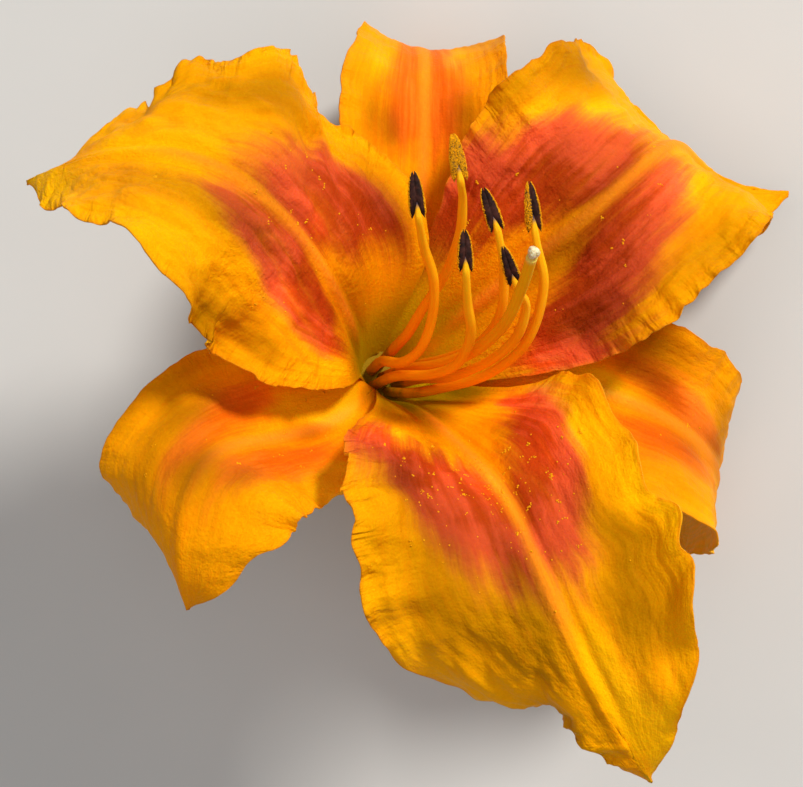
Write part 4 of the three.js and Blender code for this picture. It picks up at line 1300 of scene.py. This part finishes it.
# Pollen that has fallen on the blades: how many crumbs, their mean place along each blade and its
# spread, and the spread of their reach. A crumb has one to six grains, strewn over the surface by a
# share of a mesh step, and keeps clear of the blade's end rows and margins.
fallenPollen = {
    "petal_front": {"count": 150, "place": 0.5, "spread": 0.09, "reach": 0.35},
    "petal_left": {"count": 40, "place": 0.45, "spread": 0.12, "reach": 0.4},
    "petal_right": {"count": 36, "place": 0.42, "spread": 0.12, "reach": 0.4},
    "sepal_left": {"count": 24, "place": 0.5, "spread": 0.15, "reach": 0.4},
    "sepal_right": {"count": 10, "place": 0.5, "spread": 0.1, "reach": 0.3},
}
crumbs = {
    "seed": 7, "grains": [1, 1, 1, 2, 3, 6], "spread": 0.5, "radius": (0.09, 0.2),
    "endRows": 20, "widestReach": 0.9,
}
rng = np.random.default_rng(crumbs["seed"])
centres = []
for name, fall in fallenPollen.items():
    surface = innerFaces[name]
    rows, columns = surface.shape[:2]
    row = rng.normal(fall["place"], fall["spread"], fall["count"]) * rows
    row = np.clip(row, crumbs["endRows"], rows - crumbs["endRows"]).astype(int)
    reach = rng.normal(0, fall["reach"], fall["count"])
    reach = np.clip(reach, -crumbs["widestReach"], crumbs["widestReach"])
    column = ((reach + 1) / 2 * (columns - 2)).astype(int)
    grains = rng.choice(crumbs["grains"], fall["count"])
    row, column = np.repeat(row, grains), np.repeat(column, grains)
    strewn = rng.normal(0, crumbs["spread"], (2, len(row), 1))
    spot = surface[row, column]
    onward, sideways = surface[row + 1, column] - spot, surface[row, column + 1] - spot
    centres.append(spot + strewn[0] * onward + strewn[1] * sideways)
centres = np.concatenate(centres)
radii = rng.uniform(*crumbs["radius"], len(centres))
specks, speckTriangles = grainMesh(centres, radii, rng)
addPiece("pollen_specks", specks, speckTriangles, pollenGold, ())
print("pollen is scattered")


# The studio. A light's way is from the bloom, in the eye's right, up and back, and its distance
# and size are metres. The table is a pale matt board that reaches past the picture.
studio = {
    "tableReach": 1.2,
    "tableDark": (0.56, 0.55, 0.53, 1),
    "tableLight": (0.59, 0.58, 0.56, 1),
    "lights": {
        "keyLight": {"way": (0.44, 0.58, 0.69), "size": 0.325, "power": 24.5, "colour": (1, 0.97, 0.92)},
        "fillLight": {"way": (-0.15, -0.05, 1), "size": 1.07, "power": 6.4, "colour": (0.95, 0.97, 1)},
    },
    "lightDistance": 1.5,
    "lightAim": (0, 0, 15),
    "skyStrength": 0.27,
}


# A flat square at the height of 0.
def addTable():
    reach = studio["tableReach"]
    corners = [(-reach, -reach, 0), (reach, -reach, 0), (reach, reach, 0), (-reach, reach, 0)]
    mesh = bpy.data.meshes.new("table")
    mesh.from_pydata(corners, [], [(0, 1, 2, 3)])
    table = bpy.data.objects.new("table", mesh)
    bpy.context.scene.collection.objects.link(table)
    bench = NodeBench("tablePaint")
    place = bench.place()
    clouds = bench.noise(place, 14, 3)
    colour = bench.mix(bench.spread(clouds, 0.3, 0.7), studio["tableDark"], studio["tableLight"])
    mesh.materials.append(bench.finish(Base_Color=colour, Roughness=0.9, Specular_IOR_Level=0.05))


# A way of the bloom's frame as it points over the table.
def inTableFrame(way):
    return restMatrix @ np.array(way, float)


# A round soft light that looks at the bloom's middle.
def addLight(name, look):
    light = bpy.data.lights.new(name, "AREA")
    light.shape, light.size = "DISK", look["size"]
    light.energy, light.color = look["power"], look["colour"]
    lamp = bpy.data.objects.new(name, light)
    eyeAxes = np.array([eye["right"], eye["up"], eye["back"]])
    away = Vector(unit(inTableFrame(np.array(look["way"]) @ eyeAxes)))
    middle = Vector(onTable(np.array([studio["lightAim"]], float))[0])
    lamp.location = middle + away * studio["lightDistance"]
    lamp.rotation_mode = "QUATERNION"
    lamp.rotation_quaternion = (-away).to_track_quat("-Z", "Y")
    bpy.context.scene.collection.objects.link(lamp)


# An even white sky.
def addSky():
    world = bpy.data.worlds.new("studioSky")
    bpy.context.scene.world = world
    world.use_nodes = True
    background = world.node_tree.nodes["Background"]
    background.inputs["Color"].default_value = (1, 1, 1, 1)
    background.inputs["Strength"].default_value = studio["skyStrength"]


# The camera stands where the eye stood. Its lens is the sensor's width times the focal pixels
# over the photograph's width.
def addCamera():
    data = bpy.data.cameras.new("camera")
    data.sensor_width = 36
    data.lens = data.sensor_width * eye["focalPixels"] / photoWidth
    data.clip_start, data.clip_end = 0.02, 10
    camera = bpy.data.objects.new("camera", data)
    rightWay, upWay, backWay = (unit(inTableFrame(eye[key])) for key in ("right", "up", "back"))
    shift = np.array(eye["right"]) * eye["shift"][0] + np.array(eye["up"]) * eye["shift"][1]
    stand = onTable((shift + eye["distance"] * np.array(eye["back"]))[None])[0]
    turn = Matrix((rightWay, upWay, backWay)).transposed().to_4x4()
    camera.matrix_world = Matrix.Translation(Vector(stand)) @ turn
    bpy.context.scene.collection.objects.link(camera)
    bpy.context.scene.camera = camera


addTable()
for name, look in studio["lights"].items():
    addLight(name, look)
addSky()
addCamera()
bpy.context.scene.view_settings.view_transform = "Standard"
print("table, light and camera are set")
